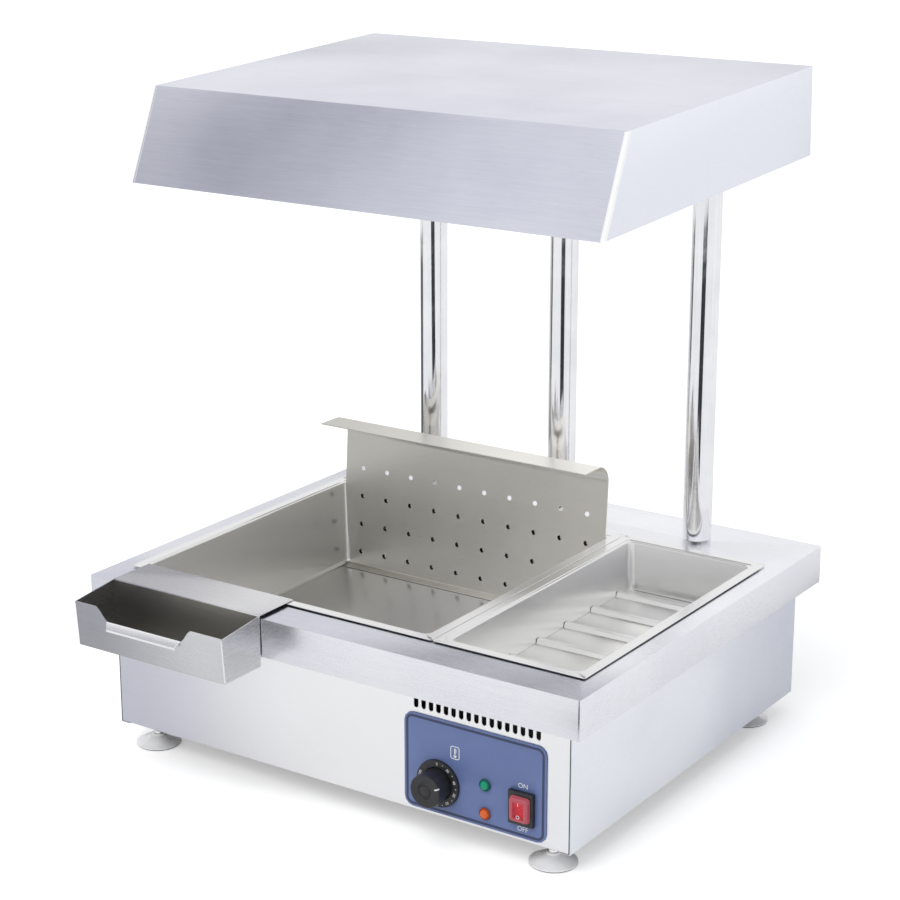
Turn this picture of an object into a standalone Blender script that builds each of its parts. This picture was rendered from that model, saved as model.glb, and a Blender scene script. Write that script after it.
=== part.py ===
"""Tabletop chip warmer, in metres, +Z up, standing on its feet at height zero.

A low stainless box holds two drop-in pans in a heated well. Three polished
posts at the back carry a hood with two quartz heat lamps. The origin is the
middle of the footprint: the back edge of the deck and the front of the
hook-on tray are equally far from it.
"""

import math

import bmesh
import bpy
from mathutils import Euler, Vector

# Sheet metal, clearances and roundness that all pieces share
SHEET = 0.0012
PANEL_SHEET = 0.0010
GAP = 0.0003
OVERRUN = 0.012
CORNER_STEPS = 3
ROUND_STEPS = 20
FINE_ROUND_STEPS = 28
MERGE = 0.00001

# Deck cover, whose folded-down rim overhangs the body
DECK_WIDTH = 0.600
DECK_DEPTH = 0.515
RIM_HEIGHT = 0.041
RIM_RETURN = 0.010
DECK_CORNER = 0.0025
COLLAR_RISE = 0.0012

# Body below the rim
BODY_SIDE_INSET = 0.019
BODY_FRONT_INSET = 0.018
BODY_REAR_INSET = 0.020
BODY_BELOW_RIM = 0.128
PANEL_RETURN = 0.012
PANEL_TOP_RETURN = 0.010
BASE_SLOT_COUNT = 9
BASE_SLOT_PITCH = 0.020
BASE_SLOT_WIDTH = 0.006
BASE_SLOT_LENGTH = 0.090
NUT_POINTS = 24

# Levelling feet
FOOT_HEIGHT = 0.025
FOOT_DISC_RADIUS = 0.021
FOOT_DISC_EDGE = 0.0015
FOOT_BELL_HEIGHT = 0.010
FOOT_NECK_RADIUS = 0.0085
FOOT_STEM_RADIUS = 0.0049
FOOT_STEM_ABOVE_BASE = 0.016
FOOT_SIDE_INSET = 0.051
FOOT_FRONT_INSET = 0.041
FOOT_REAR_INSET = 0.066
FOOT_COLLAR_TOP = 0.014
FOOT_BELL_STEPS = 5
FOOT_NUT_RADIUS = 0.0095
FOOT_NUT_HEIGHT = 0.006

# Pans, their flanges and the opening that they hang in
PAN_FLANGE_SIDE_MARGIN = 0.021
PAN_FLANGE_FRONT_MARGIN = 0.043
PAN_FLANGE_REAR_MARGIN = 0.094
PAN_SEAM_INSET = 0.1935
PAN_SEAM_GAP = 0.0008
PAN_FLANGE_WIDTH = 0.012
PAN_SHEET = 0.0009
PAN_DROP = 0.098
PAN_TAPER = 0.007
PAN_CORNER = 0.008
PAN_FILLET = 0.003
PAN_FILLET_STEPS = 3
PAN_FLANGE_CORNER = 0.002
OPENING_INSET = 0.008

# Bar that carries the two pans where they meet
SEAM_BAR_WIDTH = 0.016
SEAM_BAR_HEIGHT = 0.010

# Heated well below the opening
WELL_MARGIN = 0.002
WELL_DROP = 0.124
WELL_FLANGE = 0.006
WELL_CORNER = 0.006
ELEMENT_RADIUS = 0.0042
ELEMENT_LIFT = 0.004
ELEMENT_SIDE_INSET = 0.0665
ELEMENT_END_INSET = 0.030
ELEMENT_RUNS = 4
ELEMENT_TERMINAL = 0.020
ELEMENT_BEND_STEPS = 10
CLIP_WIDTH = 0.014
CLIP_FOOT = 0.008
CLIP_SHEET = 0.0008

# Rack for boxes in the right pan
RACK_DROP = 0.052
RACK_SHEET = 0.0010
RACK_FIRST_RIB = 0.103
RACK_RIB_COUNT = 6
RACK_RIB_PITCH = 0.055
RACK_RIB_WIDTH = 0.009
RACK_RIB_HEIGHT = 0.005
RACK_RIB_SLOPE = 0.002
RACK_LEG_SLOPE = 0.0035
RACK_SIDE_MARGIN = 0.0065
RACK_NOTCH = 0.0070

# Perforated plate that stands at the back of the left pan
PLATE_SHEET = 0.0010
PLATE_REAR_INSET = 0.0225
PLATE_SIDE_MARGIN = 0.0028
PLATE_TOP = 0.086
PLATE_FLANGE = 0.054
PLATE_BEND = 0.022
PLATE_BEND_STEPS = 7
PLATE_FOOT = 0.015
PLATE_HOLE_RADIUS = 0.0028
PLATE_HOLE_COLUMNS = 10
PLATE_HOLE_PITCH = 0.034
PLATE_HOLE_ROWS = 4
PLATE_UPPER_ROW = 0.0235
PLATE_HOLE_STEPS = 10

# Hook-on tray at the front left
TRAY_SHEET = 0.0010
TRAY_SIDE_INSET = 0.035
TRAY_WIDTH = 0.194
TRAY_REACH = 0.060
TRAY_LEAN = 0.004
TRAY_STANDOFF = 0.002
TRAY_HEIGHT = 0.0515
TRAY_FRONT_DROP = 0.0025
TRAY_COVER_DEPTH = 0.054
TRAY_CUT_LEFT = 0.0275
TRAY_CUT_RIGHT = 0.039
TRAY_CUT_DEPTH = 0.0140
TRAY_CUT_SLOPE = 0.016
TRAY_CURVE_STEPS = 6
TRAY_LIP = 0.004
TRAY_LIP_FALL = 0.0012
TRAY_LIP_HEM = 0.0048
TRAY_LIP_SLOPE = 0.004

# Control panel on the front
CONTROL_SIDE_INSET = 0.1265
CONTROL_DROP = 0.1145
CONTROL_WIDTH = 0.163
CONTROL_HEIGHT = 0.100
CONTROL_SHEET = 0.0010
CONTROL_CORNER = 0.010
VENT_COUNT = 17
VENT_PITCH = 0.00872
VENT_OFFSET = 0.0014
VENT_WIDTH = 0.0050
VENT_HEIGHT = 0.016
VENT_DROP = 0.0515
VENT_STEPS = 3

# Thermostat knob, dial ring and thermostat
KNOB_OFFSET = -0.0410
KNOB_DROP = 0.132
DIAL_RADIUS = 0.0245
DIAL_DEPTH = 0.0030
DIAL_EDGE = 0.0010
DIAL_CLEARANCE = 0.0006
KNOB_RADIUS = 0.0165
KNOB_FACE_RADIUS = 0.0170
KNOB_DEPTH = 0.0245
KNOB_STANDOFF = 0.0020
KNOB_SKIRT = 0.0020
KNOB_RECESS = 0.0010
KNOB_RIM = 0.0090
KNOB_EDGE = 0.0012
POINTER_WIDTH = 0.0014
POINTER_LENGTH = 0.0010
POINTER_DEPTH = 0.0050
POINTER_ANGLE = math.radians(68)
SHAFT_RADIUS = 0.003
SHAFT_REACH = 0.012
SHAFT_SEAT = 0.010
SHAFT_FIT = 0.00005
SHAFT_FLAT = 0.0022
THERMOSTAT_RADIUS = 0.019
THERMOSTAT_DEPTH = 0.026
THERMOSTAT_BOSS_RADIUS = 0.008
THERMOSTAT_BOSS_DEPTH = 0.004
BULB_RADIUS = 0.003
CAPILLARY_RADIUS = 0.001
BULB_LENGTH = 0.090
BULB_START = 0.045
BULB_SHOULDER = 0.004
CAPILLARY_LEAD = 0.010

# Pilot lights
PILOT_OFFSET = 0.0130
PILOT_DROPS = {"power": 0.120, "heat": 0.150}
PILOT_RADIUS = 0.0053
PILOT_RING_RADIUS = 0.0062
PILOT_RING_DEPTH = 0.0012
PILOT_DEPTH = 0.004
PILOT_BARREL_RADIUS = 0.0044
PILOT_BARREL_DEPTH = 0.016
PILOT_CROWN_FALL = 0.0008
PILOT_FACETS = 12
LENS_CROWN_SHARE = 0.62

# Rocker switch with a clear splash cover
ROCKER_OFFSET = 0.0555
ROCKER_DROP = 0.132
SWITCH_WIDTH = 0.0275
SWITCH_HEIGHT = 0.0340
SWITCH_BEZEL_DEPTH = 0.0045
SWITCH_BODY_WIDTH = 0.0210
SWITCH_BODY_HEIGHT = 0.0270
SWITCH_BODY_DEPTH = 0.018
SWITCH_MOUTH_WIDTH = 0.0135
SWITCH_MOUTH_HEIGHT = 0.0190
SWITCH_MOUTH_DEPTH = 0.0090
ROCKER_WIDTH = 0.0125
ROCKER_HEIGHT = 0.0165
ROCKER_PROUD = 0.0030
ROCKER_BACK = 0.0040
ROCKER_VALLEY = 0.0012
ROCKER_TRAVEL = math.radians(20)
ROCKER_PIVOT = 0.0020
ROCKER_WAIST = 0.0030
ROCKER_END_BACK = 0.0010
ROCKER_END_CUT = 0.0012
ROCKER_PIN_RADIUS = 0.0011
ROCKER_PIN_REACH = 0.0020
COVER_WIDTH = 0.0220
COVER_HEIGHT = 0.0260
COVER_FLANGE = 0.0010
COVER_PROUD = 0.0045
COVER_SHEET = 0.0008
COVER_CORNER = 0.0030
COVER_TAPER = 0.0008

# Electrical pieces inside the body and on the back
TERMINAL_LENGTH = 0.060
TERMINAL_DEPTH = 0.020
TERMINAL_HEIGHT = 0.018
TERMINAL_SIDE_INSET = 0.080
TERMINAL_REAR_INSET = 0.046
TERMINAL_WAYS = 4
TERMINAL_SCREW_RADIUS = 0.0028
TERMINAL_SCREW_DEPTH = 0.004
GLAND_SIDE_INSET = 0.095
GLAND_HEIGHT = 0.030
GLAND_BORE = 0.0042
GLAND_FLANGE_RADIUS = 0.0125
GLAND_NOSE_RADIUS = 0.0080
GLAND_NOSE = 0.014
GLAND_BARREL_RADIUS = 0.0095
GLAND_FLANGE_DEPTH = 0.004
GLAND_TAIL = 0.008

# Posts, the rail under them and the rail on top of them
POST_RADIUS = 0.016
POST_WALL = 0.0015
POST_HOOD_INSET = 0.1015
POST_REAR_INSET = 0.055
POST_TOP = 0.462
POST_PLUG = 0.012
POST_STUD_RADIUS = 0.005
POST_STUD_LENGTH = 0.016
POST_RAIL_WIDTH = 0.040
POST_RAIL_HEIGHT = 0.008
POST_RAIL_SHEET = 0.0020
POST_RAIL_SIDE_INSET = 0.045
POST_NUT_RADIUS = 0.0095
POST_NUT_HEIGHT = 0.007
HEAD_RAIL_WIDTH = 0.044
HEAD_RAIL_SHEET = 0.0025
HEAD_RAIL_FLANGE = 0.026
HEAD_RAIL_SIDE_INSET = 0.012
SPIGOT_LENGTH = 0.024
SPIGOT_WALL = 0.0020

# Hood, pitched forward from its rear rim
HOOD_WIDTH = 0.553
HOOD_REAR_INSET = 0.0240
HOOD_REAR_LIFT = 0.4299
HOOD_DEPTH = 0.427
HOOD_HEIGHT = 0.092
HOOD_SLANT = 0.0455
HOOD_PITCH = math.radians(2.8)
HOOD_HEM = 0.009
HOOD_CORNER = 0.002
LINER_LIFT = 0.016
LINER_EDGE = 0.012
LINER_CLEARANCE = 0.0012
LINER_CUT_CLEARANCE = 0.003

# Lamps and what holds them inside the hood
LAMP_COUNT = 2
LAMP_SPACING = 0.240
LAMP_Y = 0.160
LAMP_LIFT = 0.040
LAMP_LENGTH = 0.200
LAMP_RADIUS = 0.005
LAMP_CAP_RADIUS = 0.007
LAMP_CAP_LENGTH = 0.018
LAMP_NECK = 0.006
HOLDER_WIDTH = 0.014
HOLDER_DEPTH = 0.026
HOLDER_BELOW = 0.010
REFLECTOR_WIDTH = 0.110
REFLECTOR_CROWN_WIDTH = 0.048
REFLECTOR_HEIGHT = 0.036
REFLECTOR_LENGTH = 0.480
REFLECTOR_FLANGE = 0.012
REFLECTOR_SHEET = 0.0008
HANGER_WIDTH = 0.030
HANGER_X = 0.120
HANGER_SHEET = 0.0015
HANGER_FOOT = 0.012
GUARD_WIRE = 0.0024
GUARD_CROSS_COUNT = 13
GUARD_RUNNERS = 3
GUARD_MARGIN = 0.006

# Finishes: base colour, metallic value and roughness
STEEL = ((0.72, 0.72, 0.74), 1.0, 0.34)
BRIGHT_STEEL = ((0.80, 0.80, 0.82), 1.0, 0.10)
CHROME = ((0.86, 0.86, 0.88), 1.0, 0.06)
ZINC = ((0.60, 0.61, 0.62), 1.0, 0.42)
ELEMENT_STEEL = ((0.33, 0.30, 0.28), 1.0, 0.46)
CONTROL_BLUE = ((0.13, 0.17, 0.32), 0.0, 0.42)
BLACK_PLASTIC = ((0.015, 0.015, 0.018), 0.0, 0.36)
RED_PLASTIC = ((0.70, 0.02, 0.03), 0.0, 0.28)
CLEAR_PLASTIC = ((0.90, 0.72, 0.74), 0.0, 0.12)
GREEN_LENS = ((0.01, 0.42, 0.22), 0.0, 0.16)
ORANGE_LENS = ((0.90, 0.22, 0.02), 0.0, 0.16)
QUARTZ = ((0.92, 0.90, 0.84), 0.0, 0.08)
CERAMIC = ((0.86, 0.84, 0.78), 0.0, 0.55)
PORCELAIN_BLACK = ((0.05, 0.05, 0.05), 0.0, 0.50)
LENS_FINISHES = {"power": GREEN_LENS, "heat": ORANGE_LENS}

# Places worked out from the sizes above
REACH = TRAY_REACH + TRAY_LIP
DECK_FRONT = (REACH - DECK_DEPTH) / 2
DECK_REAR = DECK_FRONT + DECK_DEPTH
DECK_TOP = FOOT_HEIGHT + BODY_BELOW_RIM + RIM_HEIGHT
DECK_UNDER = DECK_TOP - SHEET
BODY_HALF = DECK_WIDTH / 2 - BODY_SIDE_INSET
BODY_FRONT = DECK_FRONT + BODY_FRONT_INSET
BODY_REAR = DECK_REAR - BODY_REAR_INSET
PANEL_TOP = DECK_UNDER - GAP
PAN_RIGHT_X = DECK_WIDTH / 2 - PAN_FLANGE_SIDE_MARGIN
PAN_LEFT_X = -PAN_RIGHT_X
PAN_FRONT = DECK_FRONT + PAN_FLANGE_FRONT_MARGIN
PAN_REAR = DECK_REAR - PAN_FLANGE_REAR_MARGIN
PAN_SEAM_X = DECK_WIDTH / 2 - PAN_SEAM_INSET
FLANGE_TOP = DECK_TOP + COLLAR_RISE + GAP + PAN_SHEET
PAN_FLOOR = FLANGE_TOP - PAN_DROP
OPENING_LOW = Vector((PAN_LEFT_X + OPENING_INSET, PAN_FRONT + OPENING_INSET))
OPENING_HIGH = Vector((PAN_RIGHT_X - OPENING_INSET, PAN_REAR - OPENING_INSET))
WELL_FLOOR = DECK_TOP - WELL_DROP
POST_Y = DECK_REAR - POST_REAR_INSET
POST_SPACING = HOOD_WIDTH / 2 - POST_HOOD_INSET
POST_XS = {"left": -POST_SPACING, "middle": 0, "right": POST_SPACING}
FOOT_X = DECK_WIDTH / 2 - FOOT_SIDE_INSET
TRAY_LEFT_X = TRAY_SIDE_INSET - DECK_WIDTH / 2
CONTROL_X = DECK_WIDTH / 2 - CONTROL_SIDE_INSET
KNOB_X = CONTROL_X + KNOB_OFFSET
PILOT_X = CONTROL_X + PILOT_OFFSET
ROCKER_X = CONTROL_X + ROCKER_OFFSET
TERMINAL_X = DECK_WIDTH / 2 - TERMINAL_SIDE_INSET - TERMINAL_LENGTH
GLAND_X = DECK_WIDTH / 2 - GLAND_SIDE_INSET
HOOD_FRONT = DECK_REAR - HOOD_REAR_INSET - HOOD_DEPTH * math.cos(HOOD_PITCH)
HOOD_RIM = DECK_TOP + HOOD_REAR_LIFT - HOOD_DEPTH * math.sin(HOOD_PITCH)
PLATE_Y = PAN_REAR - PLATE_REAR_INSET


def clear_scene():
    """Remove every object of the scene."""
    for obj in list(bpy.data.objects):
        bpy.data.objects.remove(obj, do_unlink=True)


def new_collection(name):
    """Make a collection in the scene."""
    collection = bpy.data.collections.new(name)
    bpy.context.scene.collection.children.link(collection)
    return collection


clear_scene()
PIECES = new_collection("chip_warmer")
CUTTERS = new_collection("cutters")


def finish_material(name, finish):
    """Make a Principled material from a colour, a metallic value and a roughness."""
    colour, metallic, roughness = finish
    material = bpy.data.materials.new(name)
    material.use_nodes = True
    shader = material.node_tree.nodes["Principled BSDF"]
    shader.inputs["Base Color"].default_value = (*colour, 1)
    shader.inputs["Metallic"].default_value = metallic
    shader.inputs["Roughness"].default_value = roughness
    return material


def place(name, data, finish=None, location=(0, 0, 0), rotation=(0, 0, 0), parent=None):
    """Put a mesh or a curve in the scene, as a piece, or as a cutter where it has no finish."""
    obj = bpy.data.objects.new(name, data)
    obj.location = location
    obj.rotation_euler = rotation
    obj.parent = parent
    if finish is None:
        CUTTERS.objects.link(obj)
        obj.hide_render = True
        obj.display_type = "WIRE"
    else:
        PIECES.objects.link(obj)
        obj.data.materials.append(finish_material(name, finish))
    return obj


def empty(name, location, rotation=(0, 0, 0)):
    """Make an empty that pieces can be parented to."""
    obj = bpy.data.objects.new(name, None)
    obj.location = location
    obj.rotation_euler = rotation
    PIECES.objects.link(obj)
    return obj


def mesh_from(shape, name):
    """Turn a bmesh into a mesh."""
    mesh = bpy.data.meshes.new(name)
    shape.to_mesh(mesh)
    shape.free()
    return mesh


def add_bevel(obj, width, segments=2, angle=math.radians(40)):
    """Round the edges of an object that are sharper than an angle."""
    bevel = obj.modifiers.new("edges", "BEVEL")
    bevel.width = width
    bevel.segments = segments
    bevel.limit_method = "ANGLE"
    bevel.angle_limit = angle
    return obj


def add_wall(obj, thickness):
    """Give an open surface its sheet thickness, away from the side that it faces."""
    wall = obj.modifiers.new("sheet", "SOLIDIFY")
    wall.thickness = thickness
    wall.offset = -1
    wall.use_even_offset = True
    return obj


def cut(target, cutter, operation="DIFFERENCE"):
    """Cut one solid with another, or join it."""
    step = target.modifiers.new(cutter.name, "BOOLEAN")
    step.operation = operation
    step.solver = "EXACT"
    step.object = cutter
    return target


def block_mesh(name, low, high):
    """Make a box between two corners, as a mesh with its place in it."""
    low, high = Vector(low), Vector(high)
    shape = bmesh.new()
    bmesh.ops.create_cube(shape, size=1)
    bmesh.ops.scale(shape, vec=high - low, verts=shape.verts)
    bmesh.ops.translate(shape, vec=(high + low) / 2, verts=shape.verts)
    return mesh_from(shape, name)


def block(name, low, high, finish=None, bevel=0, parent=None):
    """Place a box between two corners."""
    obj = place(name, block_mesh(name, low, high), finish, parent=parent)
    return add_bevel(obj, bevel) if bevel else obj


def rod_mesh(name, radius, length, steps=ROUND_STEPS, at=(0, 0, 0)):
    """Make an upright cylinder that is centred on a point."""
    shape = bmesh.new()
    bmesh.ops.create_cone(shape, cap_ends=True, segments=steps, radius1=radius, radius2=radius, depth=length)
    bmesh.ops.translate(shape, vec=at, verts=shape.verts)
    return mesh_from(shape, name)


def rods_cutter(name, radius, length, centres, steps=ROUND_STEPS, rotation=(0, 0, 0)):
    """Make a cutter from several parallel cylinders."""
    shape = bmesh.new()
    for centre in centres:
        made = bmesh.ops.create_cone(
            shape, cap_ends=True, segments=steps, radius1=radius, radius2=radius, depth=length
        )
        bmesh.ops.rotate(shape, verts=made["verts"], cent=(0, 0, 0), matrix=Euler(rotation).to_matrix())
        bmesh.ops.translate(shape, vec=centre, verts=made["verts"])
    return place(name, mesh_from(shape, name))


def boxes_cutter(name, corners):
    """Make a cutter from several boxes, each between two corners."""
    shape = bmesh.new()
    for low, high in corners:
        low, high = Vector(low), Vector(high)
        made = bmesh.ops.create_cube(shape, size=1)
        bmesh.ops.scale(shape, vec=high - low, verts=made["verts"])
        bmesh.ops.translate(shape, vec=(high + low) / 2, verts=made["verts"])
    return place(name, mesh_from(shape, name))


def turned(name, profile, finish=None, steps=ROUND_STEPS, location=(0, 0, 0), rotation=(0, 0, 0), parent=None):
    """Turn a profile of (radius, height) points about the upright axis."""
    mesh = bpy.data.meshes.new(name)
    closed = profile[0] != profile[-1] and profile[0][0] > 0 and profile[-1][0] > 0
    edges = [(i, i + 1) for i in range(len(profile) - 1)]
    if closed:
        edges.append((len(profile) - 1, 0))
    mesh.from_pydata([(radius, 0, height) for radius, height in profile], edges, [])
    obj = place(name, mesh, finish, location, rotation, parent)
    screw = obj.modifiers.new("turn", "SCREW")
    screw.axis = "Z"
    screw.steps = steps
    screw.render_steps = steps
    screw.use_merge_vertices = True
    screw.merge_threshold = MERGE
    screw.use_smooth_shade = True
    return obj


def ring(low, high, corner, front_height, rear_height=None):
    """Points of a rounded rectangle, anticlockwise from above, whose height may change from front to rear."""
    rear_height = front_height if rear_height is None else rear_height
    centres = [
        (high[0] - corner, high[1] - corner),
        (low[0] + corner, high[1] - corner),
        (low[0] + corner, low[1] + corner),
        (high[0] - corner, low[1] + corner),
    ]
    points = []
    for quarter, (x, y) in enumerate(centres):
        for step in range(CORNER_STEPS + 1):
            angle = math.pi / 2 * (quarter + step / CORNER_STEPS)
            place_y = y + corner * math.sin(angle)
            share = (place_y - low[1]) / (high[1] - low[1])
            height = front_height + share * (rear_height - front_height)
            points.append((x + corner * math.cos(angle), place_y, height))
    return points


def grown(low, high, by):
    """Move the corners of a rectangle outwards, or inwards by a negative distance."""
    return (low[0] - by, low[1] - by), (high[0] + by, high[1] + by)


def loft_mesh(name, rings, close_end=True, around=False):
    """Skin a run of rings that have equally many points, and close it where it goes around."""
    shape = bmesh.new()
    rows = [[shape.verts.new(point) for point in points] for points in rings]
    count = len(rows[0])
    following = rows[1:] + rows[:1] if around else rows[1:]
    for lower, upper in zip(rows, following):
        for i in range(count):
            j = (i + 1) % count
            shape.faces.new((lower[i], lower[j], upper[j], upper[i]))
    if close_end and not around:
        shape.faces.new(rows[-1])
    return mesh_from(shape, name)


def sheet_profile_mesh(name, profile, left, right, ends=()):
    """Draw a side profile of (y, z) points along X as an open sheet, with the listed end walls."""
    shape = bmesh.new()
    sides = [[shape.verts.new((x, y, z)) for y, z in profile] for x in (left, right)]
    for i in range(len(profile) - 1):
        shape.faces.new((sides[0][i], sides[0][i + 1], sides[1][i + 1], sides[1][i]))
    for start, stop in ends:
        shape.faces.new(sides[0][start:stop][::-1])
        shape.faces.new(sides[1][start:stop])
    return mesh_from(shape, name)


def prism_mesh(name, outline, depth, back):
    """Fill an (x, z) outline and extend it along Y between a front place and a back place."""
    curve = bpy.data.curves.new(name, "CURVE")
    curve.dimensions = "2D"
    curve.fill_mode = "BOTH"
    curve.extrude = depth / 2
    spline = curve.splines.new("POLY")
    spline.points.add(len(outline) - 1)
    for point, (x, z) in zip(spline.points, outline):
        point.co = (x, z, 0, 1)
    spline.use_cyclic_u = True
    guide = bpy.data.objects.new(name, curve)
    guide.rotation_euler = (math.pi / 2, 0, 0)
    guide.location = (0, back - depth / 2, 0)
    bpy.context.scene.collection.objects.link(guide)
    bpy.context.view_layer.update()
    graph = bpy.context.evaluated_depsgraph_get()
    mesh = bpy.data.meshes.new_from_object(guide.evaluated_get(graph))
    mesh.transform(guide.matrix_world)
    bpy.data.objects.remove(guide, do_unlink=True)
    bpy.data.curves.remove(curve)
    shape = bmesh.new()
    shape.from_mesh(mesh)
    bmesh.ops.remove_doubles(shape, verts=shape.verts, dist=MERGE)
    bmesh.ops.recalc_face_normals(shape, faces=shape.faces)
    shape.to_mesh(mesh)
    shape.free()
    return mesh


def rounded_outline(centre_x, centre_z, width, height, corner):
    """Outline of a rounded rectangle in the plane of a front panel."""
    half_x, half_z = width / 2, height / 2
    flat = ring((-half_x, -half_z), (half_x, half_z), corner, 0)
    return [(centre_x + x, centre_z + z) for x, z, _ in flat]


def tube(name, points, radius, finish, radii_shares=None, rounds=2, parent=None):
    """Make a round bar through points, with filled ends and a radius share at each point."""
    curve = bpy.data.curves.new(name, "CURVE")
    curve.dimensions = "3D"
    curve.bevel_depth = radius
    curve.bevel_resolution = rounds
    curve.use_fill_caps = True
    spline = curve.splines.new("POLY")
    spline.points.add(len(points) - 1)
    for i, (point, place_at) in enumerate(zip(spline.points, points)):
        point.co = (*place_at, 1)
        point.radius = radii_shares[i] if radii_shares else 1
    return place(name, curve, finish, parent=parent)


def arc(centre, radius, start, stop, steps):
    """Points of an arc, with angles in radians."""
    return [
        (
            centre[0] + radius * math.cos(start + (stop - start) * i / steps),
            centre[1] + radius * math.sin(start + (stop - start) * i / steps),
        )
        for i in range(steps + 1)
    ]


def deck_cover():
    """The top sheet: a folded-down rim with a return, the pan opening with its collar, and three post holes."""
    low = (-DECK_WIDTH / 2, DECK_FRONT)
    high = (DECK_WIDTH / 2, DECK_REAR)
    rim_foot = DECK_TOP - RIM_HEIGHT
    inner = grown(low, high, -RIM_RETURN)
    rings = [
        ring(*inner, DECK_CORNER, rim_foot),
        ring(low, high, DECK_CORNER, rim_foot),
        ring(low, high, DECK_CORNER, DECK_TOP),
        ring(OPENING_LOW, OPENING_HIGH, PAN_CORNER, DECK_TOP),
        ring(OPENING_LOW, OPENING_HIGH, PAN_CORNER, DECK_TOP + COLLAR_RISE),
    ]
    mesh = loft_mesh("deck_cover", rings, close_end=False)
    deck = add_wall(place("deck_cover", mesh, STEEL), SHEET)
    centres = [(x, POST_Y, DECK_TOP) for x in POST_XS.values()]
    cut(deck, rods_cutter("stud_holes", POST_STUD_RADIUS + GAP, OVERRUN, centres))


def side_panels():
    """Two side panels, with a flange turned in at the bottom and one turned out under the deck."""
    for side, sign in (("left", -1), ("right", 1)):
        name = f"side_panel_{side}"
        outer = BODY_HALF
        inner = BODY_HALF - PANEL_RETURN
        shape = bmesh.new()
        top = PANEL_TOP - PANEL_SHEET
        section = [(inner, FOOT_HEIGHT), (outer, FOOT_HEIGHT), (outer, top), (outer + PANEL_TOP_RETURN, top)]
        rows = [
            [shape.verts.new((sign * x, y, z)) for x, z in section] for y in (BODY_FRONT, BODY_REAR)
        ]
        for i in range(len(section) - 1):
            corners = (rows[0][i], rows[1][i], rows[1][i + 1], rows[0][i + 1])
            shape.faces.new(corners[::sign])
        panel = place(name, mesh_from(shape, name), STEEL)
        add_wall(panel, PANEL_SHEET)


def cross_panel(name, face_y, facing, with_cuts):
    """A front or rear panel between the side panels, with a return turned in at each end."""
    half = BODY_HALF - PANEL_SHEET - GAP
    bottom = FOOT_HEIGHT + PANEL_SHEET + GAP
    inner_y = face_y - facing * PANEL_RETURN
    shape = bmesh.new()
    plan = [(-half, inner_y), (-half, face_y), (half, face_y), (half, inner_y)]
    rows = [[shape.verts.new((x, y, z)) for x, y in plan] for z in (bottom, PANEL_TOP)]
    for i in range(len(plan) - 1):
        corners = (rows[0][i], rows[0][i + 1], rows[1][i + 1], rows[1][i])
        shape.faces.new(corners[::-facing])
    panel = add_wall(place(name, mesh_from(shape, name), STEEL), PANEL_SHEET)
    for cutter in with_cuts:
        cut(panel, cutter)
    return panel


def vent_cutter():
    """The row of short slots with round feet, just under the deck rim."""
    shape = bmesh.new()
    radius = VENT_WIDTH / 2
    for i in range(VENT_COUNT):
        centre = CONTROL_X + VENT_OFFSET + (i - (VENT_COUNT - 1) / 2) * VENT_PITCH
        foot = DECK_TOP - VENT_DROP - VENT_HEIGHT / 2 + radius
        head = foot + VENT_HEIGHT - radius
        outline = [(centre + radius, head), (centre - radius, head)]
        outline += arc((centre, foot), radius, math.pi, 2 * math.pi, VENT_STEPS * 2)
        front = [shape.verts.new((x, BODY_FRONT - OVERRUN, z)) for x, z in outline]
        face = shape.faces.new(front)
        made = bmesh.ops.extrude_face_region(shape, geom=[face])
        verts = [v for v in made["geom"] if isinstance(v, bmesh.types.BMVert)]
        bmesh.ops.translate(shape, vec=(0, 2 * OVERRUN, 0), verts=verts)
    bmesh.ops.recalc_face_normals(shape, faces=shape.faces)
    return place("vent_slots", mesh_from(shape, "vent_slots"))


def through_cutter(name, x, z, radius):
    """A cutter along Y through the front panel and the control plate."""
    centre = (x, BODY_FRONT, z)
    return rods_cutter(name, radius, 2 * OVERRUN, [centre], rotation=(math.pi / 2, 0, 0))


def switch_cutter():
    """The rectangular hole for the rocker switch's body."""
    z = DECK_TOP - ROCKER_DROP
    half_x = SWITCH_BODY_WIDTH / 2 + GAP
    half_z = SWITCH_BODY_HEIGHT / 2 + GAP
    return block(
        "switch_hole",
        (ROCKER_X - half_x, BODY_FRONT - OVERRUN, z - half_z),
        (ROCKER_X + half_x, BODY_FRONT + OVERRUN, z + half_z),
    )


def control_cutters():
    """Holes that go through both the control plate and the front panel."""
    cutters = [through_cutter("thermostat_hole", KNOB_X, DECK_TOP - KNOB_DROP, THERMOSTAT_BOSS_RADIUS + GAP)]
    for lamp, drop in PILOT_DROPS.items():
        hole = through_cutter(f"{lamp}_hole", PILOT_X, DECK_TOP - drop, PILOT_BARREL_RADIUS + GAP)
        cutters.append(hole)
    cutters.append(switch_cutter())
    return cutters


def body_panels(cutters):
    """The four walls of the box and its base."""
    side_panels()
    cross_panel("front_panel", BODY_FRONT, -1, cutters + [vent_cutter()])
    gland_hole = rods_cutter(
        "gland_hole",
        GLAND_BARREL_RADIUS + GAP,
        2 * OVERRUN,
        [(GLAND_X, BODY_REAR, FOOT_HEIGHT + GLAND_HEIGHT)],
        rotation=(math.pi / 2, 0, 0),
    )
    cross_panel("rear_panel", BODY_REAR, 1, [gland_hole])


def foot_places():
    """Names and centres of the four feet."""
    rows = {"front": DECK_FRONT + FOOT_FRONT_INSET, "rear": DECK_REAR - FOOT_REAR_INSET}
    for row, y in rows.items():
        for side, x in (("left", -FOOT_X), ("right", FOOT_X)):
            yield f"{row}_{side}", x, y


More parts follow.
